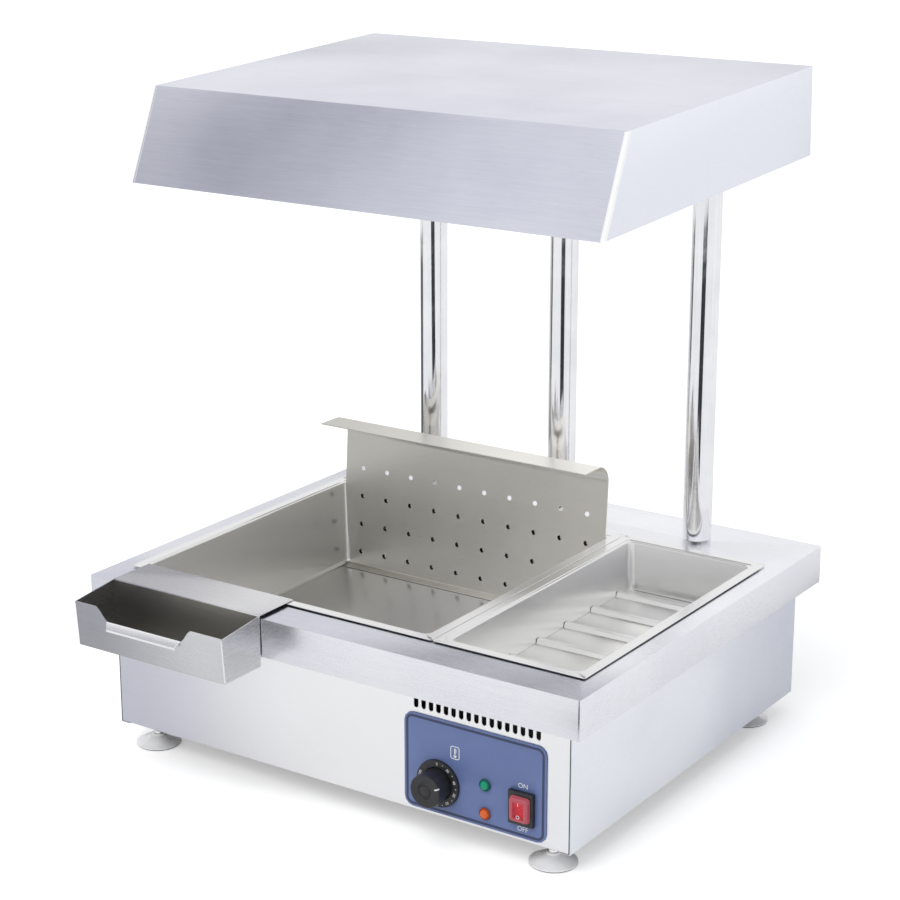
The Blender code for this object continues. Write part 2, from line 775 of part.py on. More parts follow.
def base_plate():
    """The bottom sheet over the side panels' flanges, with air slots and a hole for each foot's stem."""
    inset = PANEL_SHEET + GAP
    under = FOOT_HEIGHT + inset
    low = (-BODY_HALF + 2 * inset, BODY_FRONT + inset, under)
    high = (BODY_HALF - 2 * inset, BODY_REAR - inset, under + PANEL_SHEET)
    plate = block("base_plate", low, high, STEEL)
    middle_y = (BODY_FRONT + BODY_REAR) / 2
    slots = []
    for i in range(BASE_SLOT_COUNT):
        x = (i - (BASE_SLOT_COUNT - 1) / 2) * BASE_SLOT_PITCH
        slots.append(
            (
                (x - BASE_SLOT_WIDTH / 2, middle_y - BASE_SLOT_LENGTH / 2, under - OVERRUN),
                (x + BASE_SLOT_WIDTH / 2, middle_y + BASE_SLOT_LENGTH / 2, under + OVERRUN),
            )
        )
    cut(plate, boxes_cutter("base_slots", slots))
    stems = [(x, y, under) for _, x, y in foot_places()]
    cut(plate, rods_cutter("stem_holes", FOOT_STEM_RADIUS + GAP, OVERRUN, stems))


def nut(name, radius, height, bore, location):
    """A hexagon nut with a round bore, standing on its place."""
    side_angle = math.pi / 3
    rings = []
    for reach, hexagon, level in ((radius, True, 0), (radius, True, height), (bore, False, height), (bore, False, 0)):
        points = []
        for i in range(NUT_POINTS):
            angle = 2 * math.pi * i / NUT_POINTS
            share = math.cos(side_angle / 2) / math.cos(angle % side_angle - side_angle / 2) if hexagon else 1
            points.append((reach * share * math.cos(angle), reach * share * math.sin(angle), level))
        rings.append(points)
    return place(name, loft_mesh(name, rings, around=True), ZINC, location)


def feet():
    """Four turned bell feet on threaded stems, each in a nut on the base plate."""
    bell = []
    for i in range(FOOT_BELL_STEPS + 1):
        share = i / FOOT_BELL_STEPS
        fall = FOOT_BELL_HEIGHT - FOOT_DISC_EDGE
        height = FOOT_BELL_HEIGHT - fall * share
        reach = FOOT_NECK_RADIUS + (FOOT_DISC_RADIUS - FOOT_NECK_RADIUS) * (1 - math.cos(math.pi / 2 * share))
        bell.append((reach, height))
    stem_top = FOOT_HEIGHT + FOOT_STEM_ABOVE_BASE
    profile = [(0, stem_top), (FOOT_STEM_RADIUS, stem_top)]
    profile += [(FOOT_STEM_RADIUS, FOOT_COLLAR_TOP), (FOOT_NECK_RADIUS, FOOT_COLLAR_TOP)]
    profile += bell
    profile += [(FOOT_DISC_RADIUS, 0), (0, 0)]
    seat = FOOT_HEIGHT + 2 * (PANEL_SHEET + GAP)
    for corner, x, y in foot_places():
        turned(f"foot_{corner}", profile, CHROME, FINE_ROUND_STEPS, location=(x, y, 0))
        nut(f"foot_nut_{corner}", FOOT_NUT_RADIUS, FOOT_NUT_HEIGHT, FOOT_STEM_RADIUS + GAP, (x, y, seat))


def element_runs():
    """Places of the element's straight runs across the well."""
    pitch = (OPENING_HIGH.x - OPENING_LOW.x - 2 * ELEMENT_SIDE_INSET) / (ELEMENT_RUNS - 1)
    return [OPENING_LOW.x + ELEMENT_SIDE_INSET + i * pitch for i in range(ELEMENT_RUNS)]


def heating_well():
    """The open box under the pans, hung below the deck, with two holes for the element's ends."""
    low, high = grown(OPENING_LOW, OPENING_HIGH, WELL_MARGIN)
    top = DECK_UNDER - GAP
    rings = [
        ring(*grown(low, high, WELL_FLANGE), WELL_CORNER, top),
        ring(low, high, PAN_CORNER, top),
        ring(low, high, PAN_CORNER, WELL_FLOOR),
    ]
    well = add_wall(place("heating_well", loft_mesh("heating_well", rings), STEEL), PANEL_SHEET)
    runs = element_runs()
    height = WELL_FLOOR + ELEMENT_LIFT + ELEMENT_RADIUS
    ends = [(x, low[1], height) for x in (runs[0], runs[-1])]
    cut(well, rods_cutter("element_holes", ELEMENT_RADIUS + GAP, OVERRUN, ends, rotation=(math.pi / 2, 0, 0)))


def heating_element():
    """A tubular element in four runs just above the well's floor, and the two clips that hold it down."""
    runs = element_runs()
    pitch = runs[1] - runs[0]
    height = WELL_FLOOR + ELEMENT_LIFT + ELEMENT_RADIUS
    rear = OPENING_HIGH.y - ELEMENT_END_INSET - pitch / 2
    front = OPENING_LOW.y + ELEMENT_END_INSET + pitch / 2
    start = OPENING_LOW.y - WELL_MARGIN - ELEMENT_TERMINAL
    points = [(runs[0], start, height)]
    for i in range(ELEMENT_RUNS - 1):
        centre = ((runs[i] + runs[i + 1]) / 2, front if i % 2 else rear)
        stop = 2 * math.pi if i % 2 else 0
        bend = arc(centre, pitch / 2, math.pi, stop, ELEMENT_BEND_STEPS)
        points += [(x, y, height) for x, y in bend]
    points.append((runs[-1], start, height))
    tube("heating_element", points, ELEMENT_RADIUS, ELEMENT_STEEL)
    reach = ELEMENT_RADIUS + GAP
    rise = ELEMENT_LIFT + 2 * ELEMENT_RADIUS
    profile = [(-reach - CLIP_FOOT, 0), (-reach, 0), (-reach, rise)]
    profile += [(reach, rise), (reach, 0), (reach + CLIP_FOOT, 0)]
    for side, x in zip(("left", "right"), runs[1:-1]):
        name = f"element_clip_{side}"
        mesh = sheet_profile_mesh(name, profile, -CLIP_WIDTH / 2, CLIP_WIDTH / 2)
        at = (x, (front + rear) / 2, WELL_FLOOR + GAP)
        add_wall(place(name, mesh, ZINC, at, (0, 0, math.pi / 2)), CLIP_SHEET)


def seam_bar():
    """The bar across the opening that carries the two pans where they meet."""
    top = DECK_TOP + COLLAR_RISE
    low = (PAN_SEAM_X - SEAM_BAR_WIDTH / 2, OPENING_LOW.y + SHEET + GAP, top - SEAM_BAR_HEIGHT)
    high = (PAN_SEAM_X + SEAM_BAR_WIDTH / 2, OPENING_HIGH.y - SHEET - GAP, top)
    block("seam_bar", low, high, STEEL)


def pan(name, left, right):
    """One drop-in pan: a flat flange, tapered walls and a floor with a rounded edge."""
    low, high = (left, PAN_FRONT), (right, PAN_REAR)
    rings = [
        ring(low, high, PAN_FLANGE_CORNER, FLANGE_TOP),
        ring(*grown(low, high, -PAN_FLANGE_WIDTH), PAN_CORNER, FLANGE_TOP),
    ]
    for i in range(PAN_FILLET_STEPS + 1):
        angle = math.pi / 2 * i / PAN_FILLET_STEPS
        inset = PAN_FLANGE_WIDTH + PAN_TAPER + PAN_FILLET * (1 - math.cos(angle))
        height = PAN_FLOOR + PAN_FILLET * (1 - math.sin(angle))
        rings.append(ring(*grown(low, high, -inset), PAN_CORNER, height))
    return add_wall(place(name, loft_mesh(name, rings), STEEL), PAN_SHEET)


def pans():
    """The two pans side by side."""
    half_gap = PAN_SEAM_GAP / 2
    pan("pan_left", PAN_LEFT_X, PAN_SEAM_X - half_gap)
    pan("pan_right", PAN_SEAM_X + half_gap, PAN_RIGHT_X)


def box_rack():
    """The ribbed rack that stands in the right pan on its bent-down ends."""
    inset = PAN_FLANGE_WIDTH + PAN_TAPER + PAN_FILLET + GAP
    top = DECK_TOP - RACK_DROP - RACK_SHEET
    foot = PAN_FLOOR + GAP
    front, rear = PAN_FRONT + inset + RACK_SHEET, PAN_REAR - inset - RACK_SHEET
    profile = [(front, foot), (front - RACK_LEG_SLOPE, top)]
    for i in range(RACK_RIB_COUNT):
        middle = DECK_FRONT + RACK_FIRST_RIB + i * RACK_RIB_PITCH
        half = RACK_RIB_WIDTH / 2
        crest = top + RACK_RIB_HEIGHT
        profile += [(middle - half, top), (middle - half + RACK_RIB_SLOPE, crest)]
        profile += [(middle + half - RACK_RIB_SLOPE, crest), (middle + half, top)]
    profile += [(rear + RACK_LEG_SLOPE, top), (rear, foot)]
    side_inset = PAN_FLANGE_WIDTH + RACK_SIDE_MARGIN
    left = PAN_SEAM_X + PAN_SEAM_GAP / 2 + side_inset
    right = PAN_RIGHT_X - side_inset
    rack = add_wall(place("box_rack", sheet_profile_mesh("box_rack", profile, left, right), STEEL), RACK_SHEET)
    below = top - RACK_SHEET
    notches = [
        ((left - OVERRUN, front - OVERRUN, foot - OVERRUN), (left + RACK_NOTCH, rear + OVERRUN, below)),
        ((right - RACK_NOTCH, front - OVERRUN, foot - OVERRUN), (right + OVERRUN, rear + OVERRUN, below)),
    ]
    cut(rack, boxes_cutter("leg_notches", notches))


def perforated_plate():
    """The plate that leans on the left pan's rear wall, bent forward at the top and at its foot."""
    inset = PAN_FLANGE_WIDTH + PLATE_SIDE_MARGIN
    left, right = PAN_LEFT_X + inset, PAN_SEAM_X - PAN_SEAM_GAP / 2 - inset
    foot = PAN_FLOOR + GAP
    top = DECK_TOP + PLATE_TOP
    lean = math.atan(PAN_TAPER / PAN_DROP)

    def standing(height):
        return PLATE_Y + (height - foot) * math.tan(lean)

    bend_foot = top - PLATE_BEND - PLATE_BEND * math.sin(lean)
    centre = (standing(bend_foot) - PLATE_BEND * math.cos(lean), top - PLATE_BEND)
    profile = [(PLATE_Y - PLATE_FOOT, foot), (PLATE_Y, foot), (standing(DECK_TOP), DECK_TOP)]
    profile += arc(centre, PLATE_BEND, -lean, math.pi / 2, PLATE_BEND_STEPS)
    profile.append((standing(top) - PLATE_FLANGE, top))
    mesh = sheet_profile_mesh("perforated_plate", profile, left, right)
    middle = (left + right) / 2
    for vertex in mesh.vertices:
        if vertex.co.z < DECK_TOP - GAP:
            vertex.co.x += math.copysign(PAN_TAPER + PAN_FILLET, middle - vertex.co.x)
    plate = add_wall(place("perforated_plate", mesh, STEEL), PLATE_SHEET)
    centres = []
    for row in range(PLATE_HOLE_ROWS):
        height = DECK_TOP + PLATE_UPPER_ROW - row * PLATE_HOLE_PITCH
        for column in range(PLATE_HOLE_COLUMNS):
            x = middle + (column - (PLATE_HOLE_COLUMNS - 1) / 2) * PLATE_HOLE_PITCH
            centres.append((x, standing(height), height))
    holes = rods_cutter(
        "plate_holes", PLATE_HOLE_RADIUS, OVERRUN, centres, PLATE_HOLE_STEPS, rotation=(math.pi / 2, 0, 0)
    )
    cut(plate, holes)


def hook_on_tray():
    """The trough that hangs in front of the deck from a plate over the left pan's flange."""
    left, right = TRAY_LEFT_X, TRAY_LEFT_X + TRAY_WIDTH
    cover = FLANGE_TOP + GAP + TRAY_SHEET
    rear = DECK_FRONT - TRAY_STANDOFF
    front = DECK_FRONT - TRAY_REACH + TRAY_SHEET
    floor = DECK_TOP - TRAY_HEIGHT + TRAY_SHEET
    top = DECK_TOP - TRAY_FRONT_DROP
    profile = [(DECK_FRONT + TRAY_COVER_DEPTH, cover), (rear, cover), (rear, floor)]
    profile += [(front + TRAY_LEAN, floor), (front, top)]
    trough = (1, len(profile))
    mesh = sheet_profile_mesh("hook_on_tray", profile, left + TRAY_SHEET, right - TRAY_SHEET, ends=[trough])
    tray = add_wall(place("hook_on_tray", mesh, STEEL), TRAY_SHEET)
    start, stop = left + TRAY_CUT_LEFT, right - TRAY_CUT_RIGHT
    falling = []
    for i in range(TRAY_CURVE_STEPS + 1):
        share = i / TRAY_CURVE_STEPS
        drop = TRAY_CUT_DEPTH * (1 - math.cos(math.pi * share)) / 2
        falling.append((start + TRAY_CUT_SLOPE * share, top - drop))
    rising = [(start + stop - x, z) for x, z in reversed(falling)]
    path = falling + rising
    edge = top - TRAY_CUT_DEPTH - GAP
    wall = front + TRAY_LEAN * TRAY_CUT_DEPTH / (top - floor)
    hem = DECK_FRONT - REACH
    fold = [(wall - TRAY_SHEET / 2, edge), (hem, edge - TRAY_LIP_FALL)]
    fold.append((hem, edge - TRAY_LIP_FALL - TRAY_LIP_HEM))
    lip_mesh = sheet_profile_mesh("tray_lip", fold, start + TRAY_CUT_SLOPE, stop - TRAY_CUT_SLOPE)
    for vertex in lip_mesh.vertices:
        if vertex.co.y < hem + GAP:
            vertex.co.x += math.copysign(TRAY_LIP_SLOPE, (start + stop) / 2 - vertex.co.x)
    lip = add_wall(place("tray_lip", lip_mesh), TRAY_SHEET)
    above = [(stop, top + OVERRUN), (start, top + OVERRUN)]
    cutter = place("tray_cut", prism_mesh("tray_cut", path + above, 2 * OVERRUN, front + OVERRUN))
    cut(tray, cutter)
    cut(tray, lip, "UNION")


def control_plate(cutters):
    """The blue plate on the front panel, with holes for the knob, the lights and the switch."""
    outline = rounded_outline(CONTROL_X, DECK_TOP - CONTROL_DROP, CONTROL_WIDTH, CONTROL_HEIGHT, CONTROL_CORNER)
    mesh = prism_mesh("control_plate", outline, CONTROL_SHEET, BODY_FRONT - GAP)
    plate = place("control_plate", mesh, CONTROL_BLUE)
    for cutter in cutters:
        cut(plate, cutter)


def thermostat():
    """The thermostat behind the panel with its shaft, and the bulb that it feels the well's floor with."""
    height = DECK_TOP - KNOB_DROP
    face = BODY_FRONT + PANEL_SHEET + GAP
    boss_front = face - THERMOSTAT_BOSS_DEPTH
    seat = SHAFT_SEAT - THERMOSTAT_BOSS_DEPTH
    bore = SHAFT_RADIUS + SHAFT_FIT
    profile = [
        (0, -seat),
        (bore, -seat),
        (bore, THERMOSTAT_BOSS_DEPTH),
        (THERMOSTAT_BOSS_RADIUS, THERMOSTAT_BOSS_DEPTH),
        (THERMOSTAT_BOSS_RADIUS, 0),
        (THERMOSTAT_RADIUS, 0),
        (THERMOSTAT_RADIUS, -THERMOSTAT_DEPTH),
        (0, -THERMOSTAT_DEPTH),
    ]
    turned("thermostat", profile, ZINC, location=(KNOB_X, face, height), rotation=(math.pi / 2, 0, 0))
    shaft_back = boss_front + SHAFT_SEAT - GAP
    shaft_front = BODY_FRONT - GAP - CONTROL_SHEET - KNOB_STANDOFF - SHAFT_REACH + GAP
    shaft = place(
        "thermostat_shaft",
        rod_mesh("thermostat_shaft", SHAFT_RADIUS, shaft_back - shaft_front),
        ZINC,
        (KNOB_X, (shaft_back + shaft_front) / 2, height),
        (math.pi / 2, 0, 0),
    )
    flat = block(
        "shaft_flat",
        (KNOB_X - OVERRUN, shaft_front - OVERRUN, height - OVERRUN),
        (KNOB_X + OVERRUN, shaft_front + SHAFT_REACH, height - SHAFT_FLAT),
    )
    cut(shaft, flat)
    start = face + THERMOSTAT_DEPTH + GAP
    under = WELL_FLOOR - PANEL_SHEET - GAP - BULB_RADIUS
    low, high = start + CAPILLARY_LEAD, start + BULB_START
    points = [(KNOB_X, start, height), (KNOB_X, low, height), (KNOB_X, high, under)]
    points += [(KNOB_X, high + BULB_SHOULDER, under), (KNOB_X, high + BULB_LENGTH, under)]
    thin_share = CAPILLARY_RADIUS / BULB_RADIUS
    tube("thermostat_bulb", points, BULB_RADIUS, ZINC, [thin_share, thin_share, thin_share, 1, 1])


def knob():
    """The round knob with a recessed face and a pointer groove, inside its fixed dial ring."""
    height = DECK_TOP - KNOB_DROP
    plate_front = BODY_FRONT - GAP - CONTROL_SHEET
    facing_front = (math.pi / 2, 0, 0)
    inner = KNOB_RADIUS + DIAL_CLEARANCE
    dial = [
        (inner, DIAL_DEPTH),
        (DIAL_RADIUS - DIAL_EDGE, DIAL_DEPTH),
        (DIAL_RADIUS, DIAL_DEPTH - DIAL_EDGE),
        (DIAL_RADIUS, 0),
        (inner, 0),
    ]
    turned("dial_ring", dial, BLACK_PLASTIC, FINE_ROUND_STEPS, (KNOB_X, plate_front - GAP, height), facing_front)
    out = KNOB_DEPTH - KNOB_STANDOFF
    recess = KNOB_FACE_RADIUS - KNOB_RIM
    profile = [
        (0, out - KNOB_RECESS),
        (recess - KNOB_RECESS, out - KNOB_RECESS),
        (recess, out),
        (KNOB_FACE_RADIUS - KNOB_EDGE, out),
        (KNOB_FACE_RADIUS, out - KNOB_EDGE),
        (KNOB_RADIUS, KNOB_SKIRT),
        (KNOB_RADIUS, 0),
        (0, 0),
    ]
    back = plate_front - KNOB_STANDOFF
    handle = turned("knob", profile, BLACK_PLASTIC, FINE_ROUND_STEPS, (KNOB_X, back, height), facing_front)
    radius = SHAFT_RADIUS + SHAFT_FIT
    tilt = math.acos((SHAFT_FLAT + SHAFT_FIT) / radius)
    low_side = -math.pi / 2
    outline = arc((KNOB_X, height), radius, low_side + tilt, low_side - tilt + 2 * math.pi, ROUND_STEPS)
    bore = place("knob_bore", prism_mesh("knob_bore", outline, SHAFT_REACH + OVERRUN, back + OVERRUN))
    cut(handle, bore)
    groove = block(
        "pointer_groove",
        (-POINTER_WIDTH / 2, KNOB_FACE_RADIUS - POINTER_LENGTH, out - POINTER_DEPTH),
        (POINTER_WIDTH / 2, KNOB_RADIUS + OVERRUN, out + OVERRUN),
        parent=handle,
    )
    groove.rotation_euler = (0, 0, -POINTER_ANGLE)
    cut(handle, groove)


def pilot_lights():
    """Two faceted lenses on barrels through the control plate."""
    front = BODY_FRONT - GAP - CONTROL_SHEET - GAP
    profile = [
        (0, PILOT_DEPTH),
        (PILOT_RADIUS * LENS_CROWN_SHARE, PILOT_DEPTH - PILOT_CROWN_FALL),
        (PILOT_RADIUS, PILOT_RING_DEPTH),
        (PILOT_RING_RADIUS, PILOT_RING_DEPTH),
        (PILOT_RING_RADIUS, 0),
        (PILOT_BARREL_RADIUS, 0),
        (PILOT_BARREL_RADIUS, -PILOT_BARREL_DEPTH),
        (0, -PILOT_BARREL_DEPTH),
    ]
    for lamp, drop in PILOT_DROPS.items():
        at = (PILOT_X, front, DECK_TOP - drop)
        turned(f"pilot_light_{lamp}", profile, LENS_FINISHES[lamp], PILOT_FACETS, at, (math.pi / 2, 0, 0))


def rocker_switch():
    """The rocker in its framed housing, under a clear splash cover, tilted to its lower half."""
    height = DECK_TOP - ROCKER_DROP
    back = BODY_FRONT - GAP - CONTROL_SHEET - GAP
    front = back - SWITCH_BEZEL_DEPTH
    frame = (SWITCH_WIDTH / 2, SWITCH_HEIGHT / 2)
    housing = block(
        "switch_housing",
        (ROCKER_X - frame[0], front, height - frame[1]),
        (ROCKER_X + frame[0], back, height + frame[1]),
        BLACK_PLASTIC,
    )
    body = (SWITCH_BODY_WIDTH / 2, SWITCH_BODY_HEIGHT / 2)
    middle = (front + back) / 2
    barrel = block(
        "switch_barrel",
        (ROCKER_X - body[0], middle, height - body[1]),
        (ROCKER_X + body[0], back + SWITCH_BODY_DEPTH, height + body[1]),
    )
    cut(housing, barrel, "UNION")
    mouth = (SWITCH_MOUTH_WIDTH / 2, SWITCH_MOUTH_HEIGHT / 2)
    hollow = block(
        "switch_mouth",
        (ROCKER_X - mouth[0], front - OVERRUN, height - mouth[1]),
        (ROCKER_X + mouth[0], front + SWITCH_MOUTH_DEPTH, height + mouth[1]),
    )
    cut(housing, hollow)
    pivot = (ROCKER_X, front + ROCKER_PIVOT, height)
    sideways = (0, math.pi / 2, 0)
    pin_length = 2 * (ROCKER_WIDTH / 2 + ROCKER_PIN_REACH)
    seat_length = pin_length + 2 * GAP
    cut(housing, rods_cutter("pin_seats", ROCKER_PIN_RADIUS + SHAFT_FIT, seat_length, [pivot], rotation=sideways))
    end = ROCKER_HEIGHT / 2
    proud = ROCKER_PROUD
    profile = [
        (ROCKER_END_BACK, end - ROCKER_END_CUT),
        (-proud, end),
        (-proud + ROCKER_VALLEY, 0),
        (-proud, -end),
        (ROCKER_END_BACK, ROCKER_END_CUT - end),
        (ROCKER_BACK, -ROCKER_WAIST),
        (ROCKER_BACK, ROCKER_WAIST),
    ]
    shape = bmesh.new()
    rows = [[shape.verts.new((x, y, z)) for y, z in profile] for x in (-ROCKER_WIDTH / 2, ROCKER_WIDTH / 2)]
    shape.faces.new(rows[0])
    shape.faces.new(rows[1][::-1])
    for i in range(len(profile)):
        j = (i + 1) % len(profile)
        shape.faces.new((rows[0][i], rows[1][i], rows[1][j], rows[0][j]))
    bmesh.ops.recalc_face_normals(shape, faces=shape.faces)
    tilt = (ROCKER_TRAVEL / 2, 0, 0)
    rocker = place("rocker", mesh_from(shape, "rocker"), RED_PLASTIC, pivot, tilt)
    pin = rods_cutter("rocker_pin", ROCKER_PIN_RADIUS, pin_length, [(0, 0, 0)], rotation=sideways)
    pin.parent = rocker
    cut(rocker, pin, "UNION")
    cover_half = (COVER_WIDTH / 2, COVER_HEIGHT / 2)
    foot = grown((-cover_half[0], -cover_half[1]), cover_half, 0)
    wall = grown(*foot, -COVER_FLANGE)
    crown = grown(*wall, -COVER_TAPER)
    rings = [
        ring(*foot, COVER_CORNER, COVER_SHEET),
        ring(*wall, COVER_CORNER, COVER_SHEET),
        ring(*crown, COVER_CORNER, COVER_PROUD),
    ]
    cover = place(
        "splash_cover",
        loft_mesh("splash_cover", rings),
        CLEAR_PLASTIC,
        (ROCKER_X, front - GAP, height),
        (math.pi / 2, 0, 0),
    )
    add_wall(cover, COVER_SHEET)


def terminal_block():
    """The block inside the back where the supply wires end, with a sunk screw in each way."""
    floor = FOOT_HEIGHT + 2 * (PANEL_SHEET + GAP)
    rear = DECK_REAR - TERMINAL_REAR_INSET
    low = (TERMINAL_X, rear - TERMINAL_DEPTH, floor)
    high = (TERMINAL_X + TERMINAL_LENGTH, rear, floor + TERMINAL_HEIGHT)
    body = block("terminal_block", low, high, PORCELAIN_BLACK)
    pitch = TERMINAL_LENGTH / TERMINAL_WAYS
    centres = [(TERMINAL_X + (i + 1 / 2) * pitch, rear - TERMINAL_DEPTH / 2, high[2]) for i in range(TERMINAL_WAYS)]
    cut(body, rods_cutter("screw_wells", TERMINAL_SCREW_RADIUS, 2 * TERMINAL_SCREW_DEPTH, centres, PLATE_HOLE_STEPS))


def cable_gland():
    """The strain-relief gland in the rear panel, with an empty bore."""
    seat = BODY_REAR + GAP
    inside = -(PANEL_SHEET + GAP + GLAND_TAIL)
    profile = [
        (GLAND_BORE, GLAND_NOSE),
        (GLAND_NOSE_RADIUS, GLAND_NOSE),
        (GLAND_FLANGE_RADIUS, GLAND_FLANGE_DEPTH),
        (GLAND_FLANGE_RADIUS, 0),
        (GLAND_BARREL_RADIUS, 0),
        (GLAND_BARREL_RADIUS, inside),
        (GLAND_BORE, inside),
    ]
    at = (GLAND_X, seat, FOOT_HEIGHT + GLAND_HEIGHT)
    turned("cable_gland", profile, BLACK_PLASTIC, location=at, rotation=(-math.pi / 2, 0, 0))


def posts():
    """Three polished tubes with a plug and a stud at the foot, and the rail and nuts that hold them."""
    inner = POST_RADIUS - POST_WALL
    length = POST_TOP - GAP
    profile = [
        (0, POST_PLUG),
        (inner, POST_PLUG),
        (inner, length),
        (POST_RADIUS, length),
        (POST_RADIUS, 0),
        (POST_STUD_RADIUS, 0),
        (POST_STUD_RADIUS, -POST_STUD_LENGTH),
        (0, -POST_STUD_LENGTH),
    ]
    rail_under = DECK_UNDER - GAP - POST_RAIL_SHEET
    nut_seat = rail_under - GAP - POST_NUT_HEIGHT
    for side, x in POST_XS.items():
        turned(f"post_{side}", profile, BRIGHT_STEEL, FINE_ROUND_STEPS, location=(x, POST_Y, DECK_TOP + GAP))
        nut(f"post_nut_{side}", POST_NUT_RADIUS, POST_NUT_HEIGHT, POST_STUD_RADIUS + GAP, (x, POST_Y, nut_seat))
    half = POST_RAIL_WIDTH / 2 - POST_RAIL_SHEET
    low = rail_under - POST_RAIL_HEIGHT
    section = [
        (POST_Y - half, low),
        (POST_Y - half, rail_under),
        (POST_Y + half, rail_under),
        (POST_Y + half, low),
    ]
    reach = DECK_WIDTH / 2 - POST_RAIL_SIDE_INSET
    rail = place("post_rail", sheet_profile_mesh("post_rail", section, -reach, reach), ZINC)
    add_wall(rail, POST_RAIL_SHEET)
    centres = [(x, POST_Y, rail_under) for x in POST_XS.values()]
    cut(rail, rods_cutter("rail_holes", POST_STUD_RADIUS + GAP, OVERRUN, centres))


def hood_point(depth, height):
    """World (y, z) of a place inside the pitched hood, from its front rim."""
    y = HOOD_FRONT + depth * math.cos(HOOD_PITCH) - height * math.sin(HOOD_PITCH)
    z = HOOD_RIM + depth * math.sin(HOOD_PITCH) + height * math.cos(HOOD_PITCH)
    return y, z


def head_rail():
    """The rail on top of the posts: a plate with a rear flange against the hood and three spigots in the posts."""
    under = DECK_TOP + POST_TOP + GAP
    inner = HOOD_DEPTH - SHEET - GAP
    base_height = (under - hood_point(inner, 0)[1]) / math.cos(HOOD_PITCH)
    rear = hood_point(inner, base_height)
    crest = hood_point(inner, base_height + HEAD_RAIL_FLANGE)
    section = [(POST_Y - HEAD_RAIL_WIDTH / 2, under), rear, crest]
    reach = HOOD_WIDTH / 2 - HEAD_RAIL_SIDE_INSET
    rail = place("head_rail", sheet_profile_mesh("head_rail", section, -reach, reach), ZINC)
    add_wall(rail, HEAD_RAIL_SHEET)
    radius = POST_RADIUS - POST_WALL - GAP
    length = SPIGOT_LENGTH + HEAD_RAIL_SHEET / 2
    middle = under - SPIGOT_LENGTH + length / 2
    centres = [(x, POST_Y, middle) for x in POST_XS.values()]
    cut(rail, rods_cutter("spigots", radius, length, centres, FINE_ROUND_STEPS), "UNION")
    hollow = [(x, POST_Y, under - SPIGOT_LENGTH) for x in POST_XS.values()]
    depth = 2 * (SPIGOT_LENGTH - SPIGOT_WALL)
    cut(rail, rods_cutter("spigot_bores", radius - SPIGOT_WALL, depth, hollow, FINE_ROUND_STEPS))


def hood_front(height):
    """Depth of the hood's slanted front at a height above its rim."""
    return HOOD_SLANT * height / HOOD_HEIGHT


def hood(frame):
    """The hood's shell and the liner inside it, with a window for the lamps and holes for the posts."""
    half = HOOD_WIDTH / 2
    low, high = (-half, 0), (half, HOOD_DEPTH)
    rings = [
        ring(*grown(low, high, -HOOD_HEM), HOOD_CORNER, 0),
        ring(low, high, HOOD_CORNER, 0),
        ring((-half, HOOD_SLANT), high, HOOD_CORNER, HOOD_HEIGHT),
    ]
    add_wall(place("hood_shell", loft_mesh("hood_shell", rings), STEEL, parent=frame), SHEET)
    inset = 2 * SHEET + LINER_CLEARANCE
    edges = []
    for height in (LINER_LIFT + LINER_EDGE, LINER_LIFT):
        near = hood_front(height) + inset
        edges.append(ring((inset - half, near), (half - inset, HOOD_DEPTH - inset), HOOD_CORNER, height))
    liner = add_wall(place("hood_liner", loft_mesh("hood_liner", edges), STEEL, parent=frame), SHEET)
    window_half = REFLECTOR_LENGTH / 2 - REFLECTOR_FLANGE
    window = block(
        "lamp_window",
        (-window_half, LAMP_Y - REFLECTOR_WIDTH / 2, LINER_LIFT - OVERRUN),
        (window_half, LAMP_Y + REFLECTOR_WIDTH / 2, LINER_LIFT + OVERRUN),
        parent=frame,
    )
    cut(liner, window)
    middle = hood_point(POST_Y - HOOD_FRONT, LINER_LIFT)[1]
    centres = [(x, POST_Y, middle) for x in POST_XS.values()]
    cut(liner, rods_cutter("post_clearances", POST_RADIUS + LINER_CUT_CLEARANCE, 2 * OVERRUN, centres))


def reflector(frame):
    """The trough-shaped reflector over the lamps and its two hangers from the hood's top."""
    base = LINER_LIFT + GAP
    crown = base + REFLECTOR_HEIGHT
    wide, narrow = REFLECTOR_WIDTH / 2, REFLECTOR_CROWN_WIDTH / 2
    section = [
        (LAMP_Y - wide - REFLECTOR_FLANGE, base),
        (LAMP_Y - wide, base),
        (LAMP_Y - narrow, crown),
        (LAMP_Y + narrow, crown),
        (LAMP_Y + wide, base),
        (LAMP_Y + wide + REFLECTOR_FLANGE, base),
    ]
    half = REFLECTOR_LENGTH / 2
    mesh = sheet_profile_mesh("lamp_reflector", section, -half, half)
    add_wall(place("lamp_reflector", mesh, BRIGHT_STEEL, parent=frame), REFLECTOR_SHEET)
    low = crown + REFLECTOR_SHEET + GAP
    high = HOOD_HEIGHT - SHEET - GAP - HANGER_SHEET
    strap = [(LAMP_Y - HANGER_FOOT, low), (LAMP_Y, low), (LAMP_Y, high), (LAMP_Y + HANGER_FOOT, high)]
    for side, x in (("left", -HANGER_X), ("right", HANGER_X)):
        name = f"reflector_hanger_{side}"
        mesh = sheet_profile_mesh(name, strap, x - HANGER_WIDTH / 2, x + HANGER_WIDTH / 2)
        add_wall(place(name, mesh, ZINC, parent=frame), HANGER_SHEET)


